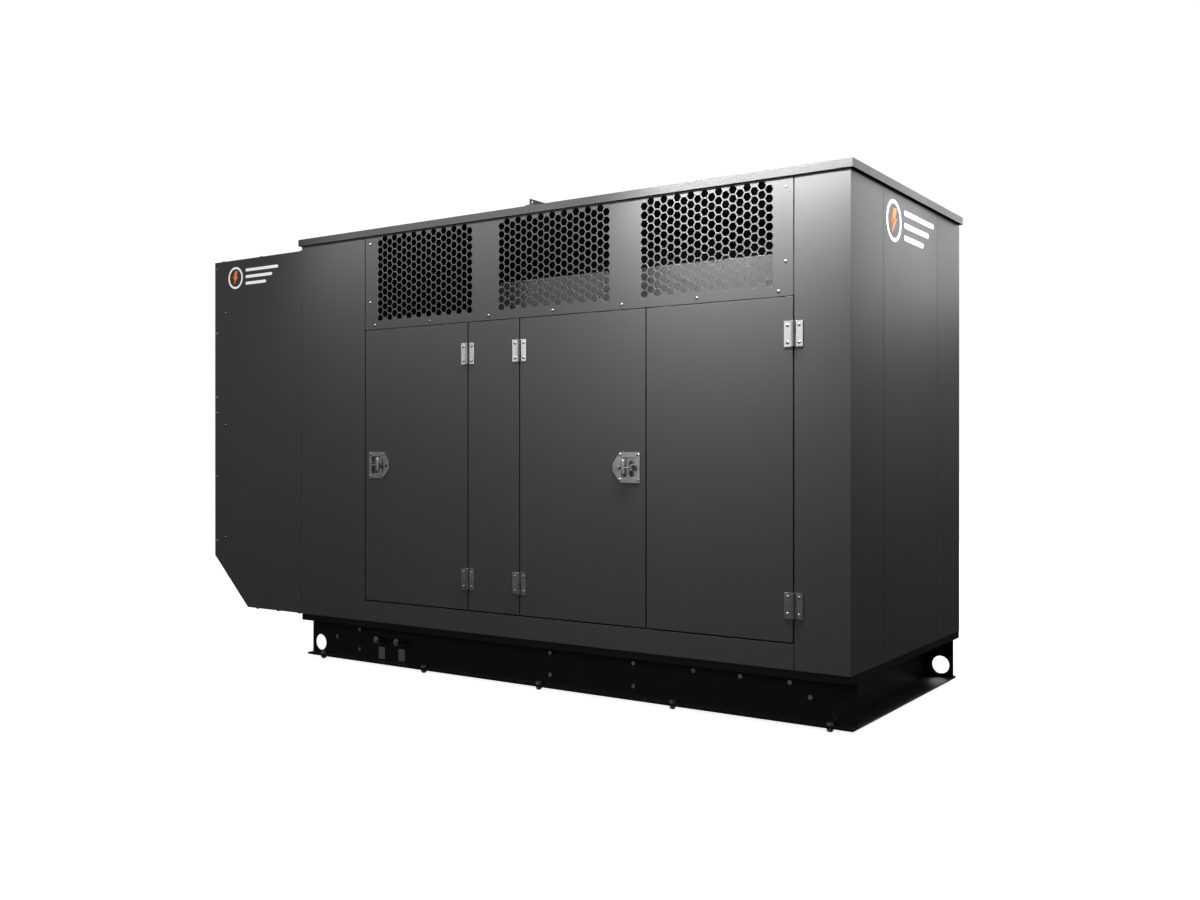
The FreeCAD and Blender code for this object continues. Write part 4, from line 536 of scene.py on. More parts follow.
def make_material(slot):
    """The finish of each slot, and of the pieces that have one of their own."""
    finish = bpy.context.scene.generator_finish
    rough = finish.coat_roughness
    makers = {
        "charcoal_powder": lambda: powder_coat(slot, finish.charcoal, rough),
        "roof_powder": lambda: powder_coat(slot, finish.roof, rough - 0.02, dust=0.2),
        "black_base": lambda: powder_coat(slot, finish.base, 0.38, dust=0.1, grain=420.0,
                                          sheen_level=0.18),
        "baffle_grey": lambda: powder_coat(slot, (0.06, 0.06, 0.062), 0.5),
        "inner_black": lambda: powder_coat(slot, (0.012, 0.012, 0.0125), 0.55),
        "control_grey": lambda: powder_coat(slot, (0.24, 0.25, 0.26), 0.4),
        "stainless": lambda: satin_metal(slot, finish.stainless, 0.3),
        "zinc_bolt": lambda: satin_metal(slot, (0.3, 0.3, 0.31), 0.4, (1, 1, 1)),
        "machined_steel": lambda: satin_metal(slot, (0.45, 0.45, 0.46), 0.28, (0.03, 1, 1)),
        "silencer_steel": lambda: satin_metal(slot, (0.34, 0.31, 0.27), 0.42, (0.05, 1, 1), dust=0.3),
        "brass_fitting": lambda: satin_metal(slot, (0.62, 0.42, 0.14), 0.35, (1, 1, 1)),
        "radiator_black": lambda: powder_coat(slot, (0.02, 0.02, 0.021), 0.5),
        "cast_block": lambda: casting(slot, finish.engine, 0.5, 0.0),
        "aluminium_cast": lambda: casting(slot, (0.45, 0.46, 0.47), 0.45, 1.0),
        "seal_rubber": lambda: moulded(slot, (0.012, 0.012, 0.012), 0.7),
        "hose_rubber": lambda: moulded(slot, (0.014, 0.014, 0.014), 0.6),
        "fan_plastic": lambda: moulded(slot, (0.02, 0.02, 0.021), 0.5),
        "filter_plastic": lambda: moulded(slot, (0.03, 0.03, 0.032), 0.42),
        "battery_case": lambda: moulded(slot, (0.022, 0.022, 0.024), 0.4),
        "toggle_black": lambda: moulded(slot, (0.02, 0.02, 0.02), 0.35),
        "stop_red": lambda: moulded(slot, (0.55, 0.012, 0.01), 0.3),
        "foam": lambda: moulded("foam", (0.018, 0.018, 0.019), 0.95, grain=240.0, strength=0.8),
        # the badge prints are no lamps: their emission is a painted glow that makes them read brighter than their
        # lighting
        "mark_white": lambda: lit_face("mark_white", finish.mark_white, 0.6, 0.5),
        "mark_orange": lambda: lit_face("mark_orange", finish.mark_orange, 0.5, 0.5),
        "screen": lambda: lit_face("screen", (0.03, 0.09, 0.07), 0.6),
        "lamp_green": lambda: lit_face("lamp_green", (0.05, 0.6, 0.1), 1.5),
    }
    return makers[slot]()


# ---------------------------------------------------------------- places from the frame
def corners(node):
    """Lowest and highest corner of a CAD node."""
    low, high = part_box(node)
    return np.array(low), np.array(high)


def pivot_of(name):
    """The place of a joint."""
    return np.array(next(joint["pos_m"] for joint in frame["joints"] if joint["name"] == name))


# ---------------------------------------------------------------- operators
class PaintFrame(bpy.types.Operator):
    """Give every CAD node the material of its slot"""
    bl_idname = "generator.paint_frame"
    bl_label = "Paint Frame"

    def execute(self, context):
        slots = {part["node"]: part["material_slot"] for part in frame["record"]["subparts"]}
        for name, node in frame["nodes"].items():
            if name not in slots:
                raise RuntimeError(f"{name} has no material slot")
            node.data.materials.clear()
            node.data.materials.append(material_of(slots[name]))
        return {"FINISHED"}


def flat_ring(centre, normal, outer, inner, thick, steps=72):
    """A flat band between two circles, from the face to its own thickness."""
    u, v, w = frame_of(normal)
    angle = np.linspace(0, 2 * math.pi, steps, endpoint=False)
    circle = np.cos(angle)[:, None] * u + np.sin(angle)[:, None] * v
    section = ((inner, 0), (inner, thick), (outer, thick), (outer, 0), (inner, 0))
    rings = np.array([centre + radius * circle + rise * w for radius, rise in section])
    return rings.reshape(-1, 3), grid_faces(len(section), steps, wrap=True)


def badge(name, centre, normal, ring):
    """A white ring round two orange wedges, with three white lines beside it, all thin plates."""
    thick, edge = 0.5 * MM, 0.2 * MM
    u, v, _ = frame_of(normal)
    centre = np.asarray(centre, float)
    upper = np.array([(0.30, 0.60), (-0.06, 0.60), (-0.34, -0.10), (0.06, -0.10)]) * ring
    lower = np.array([(0.34, 0.10), (-0.06, 0.10), (-0.24, -0.62)]) * ring
    white = [flat_ring(centre, normal, ring, 0.82 * ring, thick)]
    for length, rise in ((4.4, 0.6), (3.6, 0.0), (2.8, -0.6)):
        line = rounded_outline(length * ring, 0.26 * ring, 0.12 * ring)
        start = centre + (1.4 + length / 2) * ring * u + rise * ring * v
        white.append(plate(line, start, normal, 0, thick, edge))
    orange = [plate(wedge, centre, normal, 0, thick, edge) for wedge in (upper, lower)]
    new_piece(name + "_white", gathered(*white), "mark_white")
    new_piece(name + "_orange", gathered(*orange), "mark_orange")


class AddBadges(bpy.types.Operator):
    """Put a plain badge on the hood side and on the end panel"""
    bl_idname = "generator.add_badges"
    bl_label = "Badges"

    def execute(self, context):
        ring = context.scene.generator_sizes.badge_ring
        hood_low, hood_high = corners("hood_side_panels")
        end_low, end_high = corners("end_panel")
        badge("hood_badge", (hood_low[0] + 0.135, hood_low[1], hood_high[2] - 0.075), (0, -1, 0), ring)
        end_ring = 1.45 * ring
        end_start = (end_low[1] + end_high[1]) / 2 - 2.5 * end_ring
        badge("end_badge", (end_high[0], end_start, end_high[2] - 0.12), (1, 0, 0), end_ring)
        return {"FINISHED"}


def foam_sheet(low_x, high_x, low_z, high_z, back_y, depth, pitch):
    """Convoluted foam: depth (0.62 + 0.38 sin x sin z) off a flat back, falling to it at the rim."""
    columns = int((high_x - low_x) / pitch * 8)
    rows = int((high_z - low_z) / pitch * 8)
    x = np.linspace(low_x, high_x, columns)
    z = np.linspace(low_z, high_z, rows)
    gx, gz = np.meshgrid(x, z)
    wave = np.sin(2 * math.pi * (gx - low_x) / pitch) * np.sin(2 * math.pi * (gz - low_z) / pitch)
    height = depth * (0.62 + 0.38 * wave)
    rim = np.minimum.reduce([gx - low_x, high_x - gx, gz - low_z, high_z - gz])
    height *= np.clip(rim / (0.3 * depth), 0, 1) ** 0.5
    front = np.stack([gx, back_y + height, gz], -1).reshape(-1, 3)
    faces = [tuple(face[::-1]) for face in grid_faces(rows, columns)]
    edge = list(range(columns)) + [r * columns + columns - 1 for r in range(1, rows)]
    edge += [(rows - 1) * columns + c for c in range(columns - 2, -1, -1)]
    edge += [r * columns for r in range(rows - 2, 0, -1)]
    faces.append(tuple(edge))
    return front, faces


class AddDoorFoam(bpy.types.Operator):
    """Line the inside of each door with convoluted foam, clear of its latch or bolts"""
    bl_idname = "generator.add_door_foam"
    bl_label = "Door Foam"

    def execute(self, context):
        sizes = context.scene.generator_sizes
        skin, margin, clear = 2.2 * MM, 19 * MM, 118 * MM
        free_side = {"door_left": -1, "door_centre": 1, "door_right": -1}
        for body, free in free_side.items():
            low, high = corners(body + "_pan")
            left = low[0] + (clear if free < 0 else margin)
            right = high[0] - (clear if free > 0 else margin)
            shape = foam_sheet(left, right, low[2] + margin, high[2] - margin, low[1] + skin,
                               sizes.foam_depth, sizes.foam_pitch)
            new_piece(body + "_foam", shape, "seal_rubber", body, "foam")
        return {"FINISHED"}


def blade_rings(start, centre_z, hub, tip, chord, depth, twist, angle):
    """A blade as closed sections from hub to tip: a thin cambered lens, twisted evenly outwards."""
    share = np.linspace(0, 1, 12)[:, None]
    around = np.linspace(0, 2 * math.pi, 24, endpoint=False)[None]
    width = chord * (0.75 + 0.4 * share - 0.25 * share ** 4)
    across = width * np.cos(around) / 2
    thick = (3.6 * MM) * (1.2 - 0.6 * share) * np.sin(around)
    camber = 0.10 * chord * (1 - (2 * across / chord) ** 2)
    pitch = math.radians(62) - 0.9 * twist + twist * share
    along = (thick + camber) * np.sin(pitch) + across * np.cos(pitch)
    side = (thick + camber) * np.cos(pitch) * -1 + across * np.sin(pitch)
    radius = np.sqrt(np.maximum((hub + (tip - hub) * share) ** 2 - side ** 2, 1e-6))
    along = np.clip(along, -depth / 2, depth / 2)
    y = radius * math.cos(angle) - side * math.sin(angle)
    z = radius * math.sin(angle) + side * math.cos(angle)
    return np.stack([start + along, y, centre_z + z], -1)


class AddFan(bpy.types.Operator):
    """Replace the plain fan by one with cambered, twisted blades, a dished hub and a grooved pulley"""
    bl_idname = "generator.add_fan"
    bl_label = "Fan"

    def execute(self, context):
        sizes = context.scene.generator_sizes
        low, high = corners("cooling_fan")
        pivot = pivot_of("fan_turn")
        tip = (high[2] - low[2]) / 2
        hub, wide, pulley = 60 * MM, 50 * MM, 75 * MM
        bore = 15.3 * MM
        start, end, dish = low[0], high[0], 4 * MM
        boss, groove_wide = 35 * MM, 25 * MM
        profile = [(start + dish, bore), (start + dish, 0.55 * hub), (start, 0.7 * hub),
                   (start, 0.92 * hub), (start + dish, hub), (start + wide - dish, hub),
                   (start + wide, 0.92 * hub), (start + wide, boss), (end - groove_wide, boss),
                   (end - groove_wide, pulley - 1 * MM)]
        for groove in range(4):
            rim = end - 23 * MM + groove * 5.2 * MM
            profile += [(rim, pulley), (rim + 1.6 * MM, pulley - 3.5 * MM), (rim + 3.2 * MM, pulley)]
        profile += [(end, pulley - 1 * MM), (end, bore), (start + dish, bore)]
        rings = lathe_rings(profile[::-1], (0, 0, pivot[2]), "x", 64)
        parts = [(rings.reshape(-1, 3), grid_faces(len(profile), 64, wrap=True)[:, ::-1])]
        for number in range(sizes.fan_blades):
            turn = 2 * math.pi * number / sizes.fan_blades
            parts.append(shell(blade_rings(start + wide / 2, pivot[2], 0.9 * hub, tip - 1 * MM,
                                           92 * MM, wide, sizes.fan_twist, turn)))
        piece = new_piece("fan_blades", gathered(*parts), "fan_plastic", "cooling_fan")
        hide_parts("cooling_fan")
        return {"FINISHED"}


class AddRadiatorCore(bpy.types.Operator):
    """Add the wavy tube and fin faces of the radiator core"""
    bl_idname = "generator.add_radiator_core"
    bl_label = "Radiator Core"

    def execute(self, context):
        pitch = context.scene.generator_sizes.fin_pitch
        low, high = corners("radiator")
        tank, side, inset, depth = 92 * MM, 9 * MM, 12 * MM, 5 * MM
        y = np.arange(low[1] + side, high[1] - side, pitch / 8)
        z = np.linspace(low[2] + tank, high[2] - tank - 14 * MM, 3)
        parts = []
        for face, way in ((low[0] + inset, -1), (high[0] - inset, 1)):
            gz, gy = np.meshgrid(z, y, indexing="ij")
            wave = np.abs(np.sin(math.pi * (gy - y[0]) / pitch)) ** 0.7
            gx = face + way * (0.5 * MM + depth * wave)
            quads = grid_faces(len(z), len(y))[:, ::way]
            parts.append((np.stack([gx, gy, gz], -1).reshape(-1, 3), quads))
        new_piece("radiator_core_faces", gathered(*parts), "radiator_black")
        return {"FINISHED"}


def bead(start, radius, wide, high, slope):
    """The profile of a raised band on a turned body: up a slope, along, and down again."""
    foot, crest = radius - 1 * MM, radius + high
    return [(start, foot), (start + slope, crest), (start + wide - slope, crest), (start + wide, foot)]


def hexagon_head(centre, axis, radius, high):
    """A bolt head: six sides with a chamfered end, as a lathe of six steps."""
    profile = [(0, radius), (0.75 * high, radius), (high, 0.82 * radius)]
    return lathe(profile, centre, axis, steps=6)


class AddEngineDress(bpy.types.Operator):
    """Dress the engine: rocker cover, block ribs and core plugs, sump bolts, oil filter and starter"""
    bl_idname = "generator.add_engine_dress"
    bl_label = "Engine Dress"

    def execute(self, context):
        head_low, head_high = corners("cylinder_head")
        crank = pivot_of("crank_turn")[2]
        left, right = head_low[0] - 8 * MM, head_high[0] + 8 * MM
        face = -150 * MM
        cover_low, cover_high = head_high[2] - 26 * MM, head_high[2] + 26 * MM
        cover = [cushion_box((left + 22 * MM, -78 * MM, cover_low),
                             (right - 22 * MM, 78 * MM, cover_high), 18 * MM)]
        for along in np.linspace(left + 70 * MM, right - 70 * MM, 7):
            cover.append(cushion_box((along - 5 * MM, -62 * MM, cover_high - 6 * MM),
                                     (along + 5 * MM, 62 * MM, cover_high + 5 * MM), 4 * MM))
        for along in np.linspace(left + 45 * MM, right - 45 * MM, 6):
            for side in (-1, 1):
                stud = mm((0, 9), (5, 9), (8, 6))
                cover.append(lathe(stud, (along, side * 84 * MM, cover_low + 2 * MM), "z", 20))
        new_piece("rocker_cover", gathered(*cover), "aluminium_cast")
        ribs = []
        for along in np.linspace(left + 200 * MM, right - 40 * MM, 5):
            path = np.stack([np.full(12, along), np.full(12, face),
                             np.linspace(crank - 140 * MM, crank + 160 * MM, 12)], -1)
            ribs.append(tube(path, 8 * MM, 16))
        for along in np.linspace(left + 238 * MM, right - 78 * MM, 4):
            dish = mm((0, 24), (-3, 24), (-4, 21), (-1, 17), (-1, 4))
            ribs.append(lathe(dish[::-1], (along, face, crank + 90 * MM), "y", 32))
        rail = np.linspace((left + 20 * MM, face, crank - 150 * MM),
                           (right - 20 * MM, face, crank - 150 * MM), 8)
        ribs.append(tube(rail, 7 * MM, 12))
        new_piece("block_ribs", gathered(*ribs), "cast_block")
        bolts = [hexagon_head((along, face - 6 * MM, crank - 150 * MM), "y", 7 * MM, -5 * MM)
                 for along in np.linspace(left + 60 * MM, right - 60 * MM, 9)]
        new_piece("sump_bolts", gathered(*bolts), "zinc_bolt")
        self.add_filter_and_starter(right, face, crank)
        return {"FINISHED"}

    def add_filter_and_starter(self, right, face, crank):
        """A spin-on oil filter, and a starter motor with its solenoid over it."""
        filter_place = (right - 190 * MM, face, crank - 62 * MM)
        can = mm((-2, 40), (-12, 40), (-14, 46), (-24, 48), (-105, 48), (-114, 44), (-118, 30),
                 (-118, 2))
        new_piece("oil_filter", lathe(can[::-1], filter_place, "y", 40), "stop_red",
                  finish="filter_plastic")
        motor_place = (right - 2 * MM, face - 62 * MM, crank - 40 * MM)
        body = mm((-135, 2), (-135, 36), (-130, 42), (-40, 42), (-38, 46), (-24, 46), (-22, 36),
                  (0, 34))
        coil_place = (right - 40 * MM, face - 62 * MM, crank + 26 * MM)
        coil = mm((-80, 2), (-80, 19), (-76, 22), (-6, 22), (0, 20))
        starter = gathered(lathe(body, motor_place, "x", 40), lathe(coil, coil_place, "x", 28))
        new_piece("starter_motor", starter, "machined_steel")


class AddAlternatorDress(bpy.types.Operator):
    """Add cooling ribs round the alternator casing and a terminal box on top of it"""
    bl_idname = "generator.add_alternator_dress"
    bl_label = "Alternator Dress"

    def execute(self, context):
        low, high = corners("alternator_casing")
        crank = pivot_of("crank_turn")[2]
        radius = high[2] - crank
        angle = np.linspace(math.radians(-40), math.radians(220), 72)
        parts = []
        for number in range(14):
            along = low[0] + 60 * MM + number * 24 * MM
            profile = np.array(bead(along, radius, 10 * MM, 5 * MM, 2 * MM))
            rings = np.stack([np.broadcast_to(profile[:, :1], (4, 72)),
                              profile[:, 1:] * np.cos(angle),
                              crank + profile[:, 1:] * np.sin(angle)], -1)
            parts.append((rings.reshape(-1, 3), grid_faces(4, 72)[:, ::-1]))
        new_piece("casing_ribs", gathered(*parts), "cast_block")
        box_low = (low[0] + 150 * MM, -110 * MM, crank + radius - 12 * MM)
        box_high = (low[0] + 400 * MM, 110 * MM, crank + radius + 95 * MM)
        lid_high = (box_high[0] + 4 * MM, box_high[1] + 4 * MM, box_high[2] + 8 * MM)
        lid_low = (box_low[0] - 4 * MM, box_low[1] - 4 * MM, box_high[2] - 2 * MM)
        screws = [hexagon_head((x, y, lid_high[2] - 1 * MM), "z", 6 * MM, 4 * MM)
                  for x in (lid_low[0] + 16 * MM, lid_high[0] - 16 * MM)
                  for y in (lid_low[1] + 16 * MM, lid_high[1] - 16 * MM)]
        box = gathered(cushion_box(box_low, box_high, 8 * MM), cushion_box(lid_low, lid_high, 4 * MM))
        new_piece("terminal_box", box, "control_grey")
        new_piece("terminal_box_screws", gathered(*screws), "zinc_bolt")
        return {"FINISHED"}


class AddControlFace(bpy.types.Operator):
    """Put a bezel, a screen, push buttons, a key switch and lamps on the control cabinet"""
    bl_idname = "generator.add_control_face"
    bl_label = "Control Face"

    def execute(self, context):
        pivot = pivot_of("breaker_throw")
        stop_low, stop_high = corners("emergency_stop_button")
        face = pivot[1] + 14 * MM
        middle = (pivot[0] + 40 * MM + stop_low[0]) / 2 + 10 * MM
        out = (0, -1, 0)
        screen_z = stop_high[2] - 20 * MM - 40 * MM
        wide, tall = 150 * MM, 96 * MM
        bezel = plate(rounded_outline(wide, tall, 10 * MM), (middle, face, screen_z), out, 0, 6 * MM,
                      1.5 * MM)
        new_piece("display_bezel", bezel, "toggle_black")
        glass = plate(rounded_outline(wide - 34 * MM, tall - 34 * MM, 3 * MM),
                      (middle, face - 6 * MM, screen_z + 4 * MM), out, -0.5 * MM, 0.6 * MM, 0.2 * MM)
        new_piece("display_screen", glass, "toggle_black", finish="screen")
        keys = []
        for number in range(6):
            along = middle - 62.5 * MM + number * 25 * MM
            keys.append(plate(rounded_outline(17 * MM, 13 * MM, 3 * MM),
                              (along, face, screen_z - 75 * MM), out, 0, 4 * MM, 1.2 * MM))
        rose = mm((0, 14), (-3, 14), (-5, 12), (-5, 7), (-14, 6), (-15, 5), (-15, 1))
        keys.append(lathe(rose[::-1], (middle - 30 * MM, face, screen_z - 125 * MM), "y", 32))
        new_piece("panel_keys", gathered(*keys), "control_grey", finish="machined_steel")
        lamps = []
        dome = mm((0, 5), (-2, 5), (-3.5, 3.5), (-4, 1))
        for number in range(3):
            lamps.append(lathe(dome[::-1], (middle + (20 + 22 * number) * MM, face,
                                            screen_z - 125 * MM), "y", 20))
        new_piece("panel_lamps", gathered(*lamps), "control_grey", finish="lamp_green")
        return {"FINISHED"}


class AddBatteryTop(bpy.types.Operator):
    """Add the lid, filler plugs, terminal clamps and hold-down bar of the battery"""
    bl_idname = "generator.add_battery_top"
    bl_label = "Battery Top"

    def execute(self, context):
        low, high = corners("battery")
        top = high[2] - 16 * MM
        lid = [cushion_box((low[0] - 2 * MM, low[1] - 2 * MM, top - 22 * MM),
                           (high[0] + 2 * MM, high[1] + 2 * MM, top + 3 * MM), 3 * MM)]
        middle_y = (low[1] + high[1]) / 2
        for along in np.linspace(low[0] + 70 * MM, high[0] - 70 * MM, 4):
            lid.append(lathe(mm((0, 13), (4, 13), (5, 11), (5, 2)),
                             (along, middle_y + 40 * MM, top + 2 * MM), "z", 24))
        new_piece("battery_lid", gathered(*lid), "battery_case")
        clamps = []
        for along in (low[0] + 35 * MM, high[0] - 35 * MM):
            clamps.append(lathe(mm((0, 15), (10, 15), (12, 13), (12, 10)),
                                (along, middle_y, top + 3 * MM), "z", 28))
        bar_low = (low[0] - 8 * MM, middle_y - 62 * MM, top + 3 * MM)
        bar_high = (high[0] + 8 * MM, middle_y - 40 * MM, top + 8 * MM)
        clamps.append(cushion_box(bar_low, bar_high, 2 * MM))
        new_piece("battery_clamps", gathered(*clamps), "zinc_bolt")
        return {"FINISHED"}


class AddGasPathDress(bpy.types.Operator):
    """Add the bands and the dished end of the silencer, and the beads of the air cleaner"""
    bl_idname = "generator.add_gas_path_dress"
    bl_label = "Silencer And Air Cleaner Dress"

    def execute(self, context):
        crank = pivot_of("crank_turn")[2]
        radius, back = 95 * MM, 190 * MM
        axis_z = crank + (1466 - 596) * MM
        start, end = -1044 * MM, -284 * MM
        seam = []
        for along in (start + 4 * MM, start + 250 * MM, end - 250 * MM, end - 12 * MM):
            band = bead(along, radius, 9 * MM, 4 * MM, 1 * MM)
            seam.append(lathe(band, (0, back, axis_z), "x", 56))
        dish = [(end - 2 * MM, radius - 6 * MM), (end + 8 * MM, radius - 22 * MM),
                (end + 14 * MM, radius - 55 * MM), (end + 16 * MM, 4 * MM)]
        seam.append(lathe(dish, (0, back, axis_z), "x", 56))
        new_piece("silencer_bands", gathered(*seam), "silencer_steel")
        can_low, can_high = corners("air_cleaner")
        centre = (0, (can_low[1] - 144 * MM) / 2, (can_low[2] + can_high[2]) / 2)
        can_radius = (can_high[2] - can_low[2]) / 2 - 6 * MM
        ribs = []
        for along in np.linspace(can_low[0] + 30 * MM, can_high[0] - 60 * MM, 9):
            ribs.append(lathe(bead(along, can_radius, 7 * MM, 2.5 * MM, 2 * MM), centre, "x", 48))
        new_piece("air_cleaner_beads", gathered(*ribs), "filter_plastic")
        return {"FINISHED"}


def grip_rings(hub, side, pivot_y, start, wide, tall, thick):
    """A grip as stadium sections along its height, swelling a little at the middle."""
    share = np.linspace(-1, 1, 21)[:, None]
    angle = np.linspace(0, 2 * math.pi, 28, endpoint=False)[None]
    end = np.sqrt(np.clip(1 - np.abs(share) ** 9, 0.0, 1.0))
    shade_half_wide = wide / 2 * end * (0.92 + 0.08 * (1 - share ** 2))
    half_thick = thick / 2 * end
    across, over = np.cos(angle), np.sin(angle)
    x = hub[0] + side * (start + wide / 2) + shade_half_wide * np.sign(across) * np.abs(across) ** 0.7
    y = pivot_y + half_thick * np.sign(over) * np.abs(over) ** 0.8
    z = hub[2] + share * tall / 2 + 0 * angle
    return np.stack([x, y, z], -1)


class AddHandles(bpy.types.Operator):
    """Replace the plain T-handles by rounded ones on a waisted stem"""
    bl_idname = "generator.add_handles"
    bl_label = "T-Handles"

    def execute(self, context):
        for name, side in (("latch_left", 1), ("latch_centre", -1)):
            low, high = corners(name + "_handle")
            hub = pivot_of(name + "_fold")
            grip = grip_rings(hub, side, hub[1] - 0.4 * MM, 22 * MM, 20 * MM, high[2] - low[2],
                              8 * MM)
            share = np.linspace(0, 1, 14)
            path = hub + share[:, None] * np.array([side * 30 * MM, 0, 0])
            stem = tube(path, (3.6 - 0.9 * np.sin(math.pi * share)) * MM, 20)
            eye = lathe(mm((-4, 2.6), (-4, 4.2), (-3, 5), (3, 5), (4, 4.2), (4, 2.6)), hub, "z", 28)
            handle = new_piece(name + "_grip", gathered(shell(grip), stem, eye), "stainless",
                              name + "_handle")
            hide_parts(name + "_handle")
        return {"FINISHED"}


class AddRearGaskets(bpy.types.Operator):
    """Back the seams of the rear service and vent panels with flat rubber strips"""
    bl_idname = "generator.add_rear_gaskets"
    bl_label = "Rear Gaskets"

    def execute(self, context):
        low, high = corners("rear_service_panels")
        vent_top = corners("rear_vent_panel")[1][2]
        half, thick, skin = 14 * MM, 3 * MM, 2 * MM
        back = high[1] - skin
        strips = []
        for along in np.linspace(low[0], high[0], 4):
            top = vent_top if along in (low[0], high[0]) else high[2]
            strips.append(cushion_box((along - half, back - thick, low[2]),
                                      (along + half, back, top), 1 * MM))
        strips.append(cushion_box((low[0], back - thick, high[2] - half),
                                  (high[0], back, high[2] + half), 1 * MM))
        new_piece("rear_seam_gaskets", gathered(*strips), "seal_rubber")
        return {"FINISHED"}


class AddHoodScrews(bpy.types.Operator):
    """Add the dome screws along the top and bottom rims of the hood's side"""
    bl_idname = "generator.add_hood_screws"
    bl_label = "Hood Screws"

    def execute(self, context):
        low, high = corners("hood_side_panels")
        dome = mm((-1, 7), (1, 7), (3, 5.5), (4.4, 3.2), (5, 0.8))
        inset = 9 * MM
        screws = []
        for share in (0.09, 0.53, 0.975):
            along = low[0] + share * (high[0] - low[0])
            screws.append(lathe(dome, (along, low[1] + inset, high[2]), "z", 24))
        for share in (0.49, 0.72, 0.955):
            along = low[0] + share * (high[0] - low[0])
            screws.append(lathe((dome * (-1, 1))[::-1], (along, low[1] + inset, low[2]), "z", 24))
        new_piece("hood_rim_screws", gathered(*screws), "stainless")
        return {"FINISHED"}


class SetStage(bpy.types.Operator):
    """Set the floor, the soft boxes, the sky and the camera"""
    bl_idname = "generator.set_stage"
    bl_label = "Stage"

    def execute(self, context):
        stage = context.scene.generator_stage
        self.add_floor(CAD_BOX[0][2])
        self.add_sky(context.scene, stage.sky)
        roof_low, roof_high = corners("roof_right")
        front, right, top = roof_low[1], roof_high[0], roof_high[2]
        strip, box = (0.04, math.radians(110)), (2.0, math.pi)
        below, middle = top - 0.3, (0.0, 0.0, 0.9)
        lights = (
            ("corner_light", (right - 0.35, front - 0.17, top + 0.1), (right - 0.35, front, below),
             0.85, strip, stage.corner),
            ("front_light", (-0.1, front - 0.2, top + 0.12), (-0.1, front, below),
             2.1, strip, stage.front),
            ("end_light", (right + 0.17, -0.15, top + 0.1), (right, -0.15, below),
             0.75, strip, stage.end),
            ("fill_light", (-2.5, -5.5, 2.4), middle, 3.0, box, stage.fill),
            ("back_light", (1.0, 6.0, 3.0), middle, 3.0, box, stage.back),
        )
        for name, place, aim, wide, (tall, spread), power in lights:
            self.soft_box(name, place, Vector(aim), (wide, tall), spread, power)
        camera = bpy.data.cameras.new("camera")
        camera.lens = stage.lens
        camera.sensor_width = 36.0
        camera.clip_end = 200.0
        view = bpy.data.objects.new("camera", camera)
        view.location = stage.eye
        view.rotation_euler = (math.pi / 2, 0.0, stage.turn)
        context.scene.collection.objects.link(view)
        context.scene.camera = view
        context.scene.view_settings.view_transform = "Standard"
        return {"FINISHED"}

    def add_floor(self, level):
        """A wide disc, as rings of growing radius, that stays dark under the base: to the camera it glows pale
        except over the base's footprint, where the missing glow is painted shade, and to light rays it is dark.
        """
        radii = np.array([2.0, 4.0, 8.0, 16.0, 40.0])[:, None]
        angle = np.linspace(0, 2 * math.pi, 64, endpoint=False)
        rings = np.stack([radii * np.cos(angle), radii * np.sin(angle),
                          np.full((5, 64), level)], -1)
        floor = new_object("floor", shell(rings, cap_high=False))
        material, tree, shader, place = start_material("pale_floor")
        grain_node = place_group(tree, "powder", {"Place": place, "Grain Scale": 40.0,
                                                  "Mottle Scale": 0.6})
        tinted = place_group(tree, "tint", {"Colour": (0.86, 0.86, 0.86, 1.0), "Strength": 0.02,
                                            "Tone": grain_node.outputs["Mottle"]})
        tree.links.new(tinted.outputs[0], shader.inputs["Base Color"])
        shader.inputs["Roughness"].default_value = 0.9
        shader.inputs["Specular IOR Level"].default_value = 0.1
        # painted shade: inside a rectangle round the base the floor gets no glow, so it reads darker under the
        # machine, as if in its shadow
        shade_half_long, shade_half_wide = 1.1, 0.42
        flat = add(tree, "ShaderNodeVectorMath", {0: place, 1: (1 / shade_half_long, 1 / shade_half_wide, 0.0)},
                   operation="MULTIPLY")
        away = add(tree, "ShaderNodeVectorMath", {0: flat.outputs[0]}, operation="ABSOLUTE")
        apart = add(tree, "ShaderNodeSeparateXYZ", {0: away.outputs[0]})
        furthest = maths(tree, "MAXIMUM", apart.outputs[0], apart.outputs[1])
        beyond_painted_shade = maths(tree, "GREATER_THAN", furthest, 1.0)
        glow = add(tree, "ShaderNodeEmission", {"Color": (1.0, 1.0, 1.0, 1.0),
                                                "Strength": maths(tree, "MULTIPLY", beyond_painted_shade, 0.9)})
        total = add(tree, "ShaderNodeAddShader", {0: shader.outputs[0], 1: glow.outputs[0]})
        dark = add(tree, "ShaderNodeBsdfDiffuse", {"Color": (0.06, 0.06, 0.06, 1.0)})
        seen = add(tree, "ShaderNodeLightPath").outputs["Is Camera Ray"]
        either = add(tree, "ShaderNodeMixShader", {0: seen, 1: dark.outputs[0], 2: total.outputs[0]})
        tree.links.new(either.outputs[0], tree.nodes["Material Output"].inputs["Surface"])
        floor.data.materials.append(material)

    def add_sky(self, scene, strength):
        """White where the camera sees it, a soft grey where it lights and reflects."""
        world = bpy.data.worlds.new("sky")
        world.use_nodes = True
        tree = world.node_tree
        seen = add(tree, "ShaderNodeBackground", {"Color": (1.0, 1.0, 1.0, 1.0), "Strength": 1.05})
        soft = tree.nodes["Background"]
        soft.inputs["Color"].default_value = (1.0, 1.0, 1.0, 1.0)
        soft.inputs["Strength"].default_value = strength
        camera_ray = add(tree, "ShaderNodeLightPath").outputs["Is Camera Ray"]
        mix = add(tree, "ShaderNodeMixShader", {0: camera_ray, 1: soft.outputs[0], 2: seen.outputs[0]})
        tree.links.new(mix.outputs[0], tree.nodes["World Output"].inputs["Surface"])
        scene.world = world

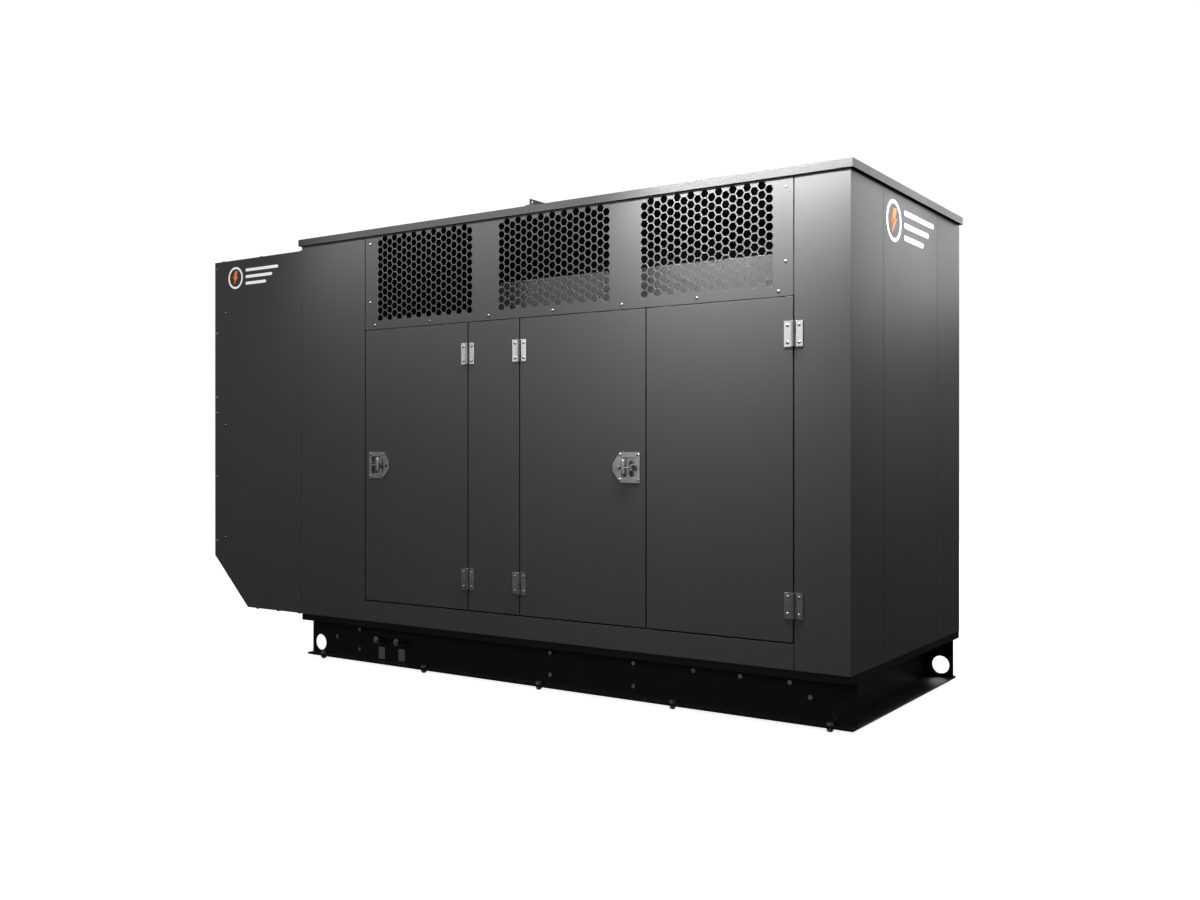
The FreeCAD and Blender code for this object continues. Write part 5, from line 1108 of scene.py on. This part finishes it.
    def soft_box(self, name, place, aim, size, spread, power):
        """A rectangular area light at a place, turned towards its aim."""
        light = bpy.data.lights.new(name, "AREA")
        light.shape = "RECTANGLE"
        light.size, light.size_y = size
        light.energy = power
        light.spread = spread
        lamp = bpy.data.objects.new(name, light)
        lamp.location = place
        lamp.rotation_euler = (aim - Vector(place)).to_track_quat("-Z", "Y").to_euler()
        lamp.visible_camera = False
        bpy.context.scene.collection.objects.link(lamp)


PIECE_OPERATORS = (
    PaintFrame, AddBadges, AddDoorFoam, AddFan, AddRadiatorCore, AddEngineDress, AddAlternatorDress,
    AddControlFace, AddBatteryTop, AddGasPathDress, AddHandles, AddRearGaskets, AddHoodScrews,
    SetStage,
)


class GeneratorPanel(bpy.types.Panel):
    """Lists the settings and the operators"""
    bl_idname = "VIEW3D_PT_generator"
    bl_label = "Standby Generator"
    bl_space_type = "VIEW_3D"
    bl_region_type = "UI"
    bl_category = "Generator"

    def draw(self, context):
        layout = self.layout
        for group in (context.scene.generator_finish, context.scene.generator_sizes,
                      context.scene.generator_stage):
            box = layout.box()
            for name in group.__annotations__:
                box.prop(group, name)
        for operator in PIECE_OPERATORS:
            layout.operator(operator.bl_idname)


CLASSES = (GeneratorFinish, GeneratorSizes, GeneratorStage, *PIECE_OPERATORS, GeneratorPanel)


def register():
    for cls in CLASSES:
        bpy.utils.register_class(cls)
    bpy.types.Scene.generator_finish = PointerProperty(type=GeneratorFinish)
    bpy.types.Scene.generator_sizes = PointerProperty(type=GeneratorSizes)
    bpy.types.Scene.generator_stage = PointerProperty(type=GeneratorStage)


def unregister():
    del bpy.types.Scene.generator_stage
    del bpy.types.Scene.generator_sizes
    del bpy.types.Scene.generator_finish
    for cls in reversed(CLASSES):
        bpy.utils.unregister_class(cls)


def main():
    register()
    bpy.ops.generator.paint_frame()
    bpy.ops.generator.add_badges()
    bpy.ops.generator.add_door_foam()
    bpy.ops.generator.add_fan()
    bpy.ops.generator.add_radiator_core()
    bpy.ops.generator.add_engine_dress()
    bpy.ops.generator.add_alternator_dress()
    bpy.ops.generator.add_control_face()
    bpy.ops.generator.add_battery_top()
    bpy.ops.generator.add_gas_path_dress()
    bpy.ops.generator.add_handles()
    bpy.ops.generator.add_rear_gaskets()
    bpy.ops.generator.add_hood_screws()
    bpy.ops.generator.set_stage()


if __name__ == "__main__":
    main()
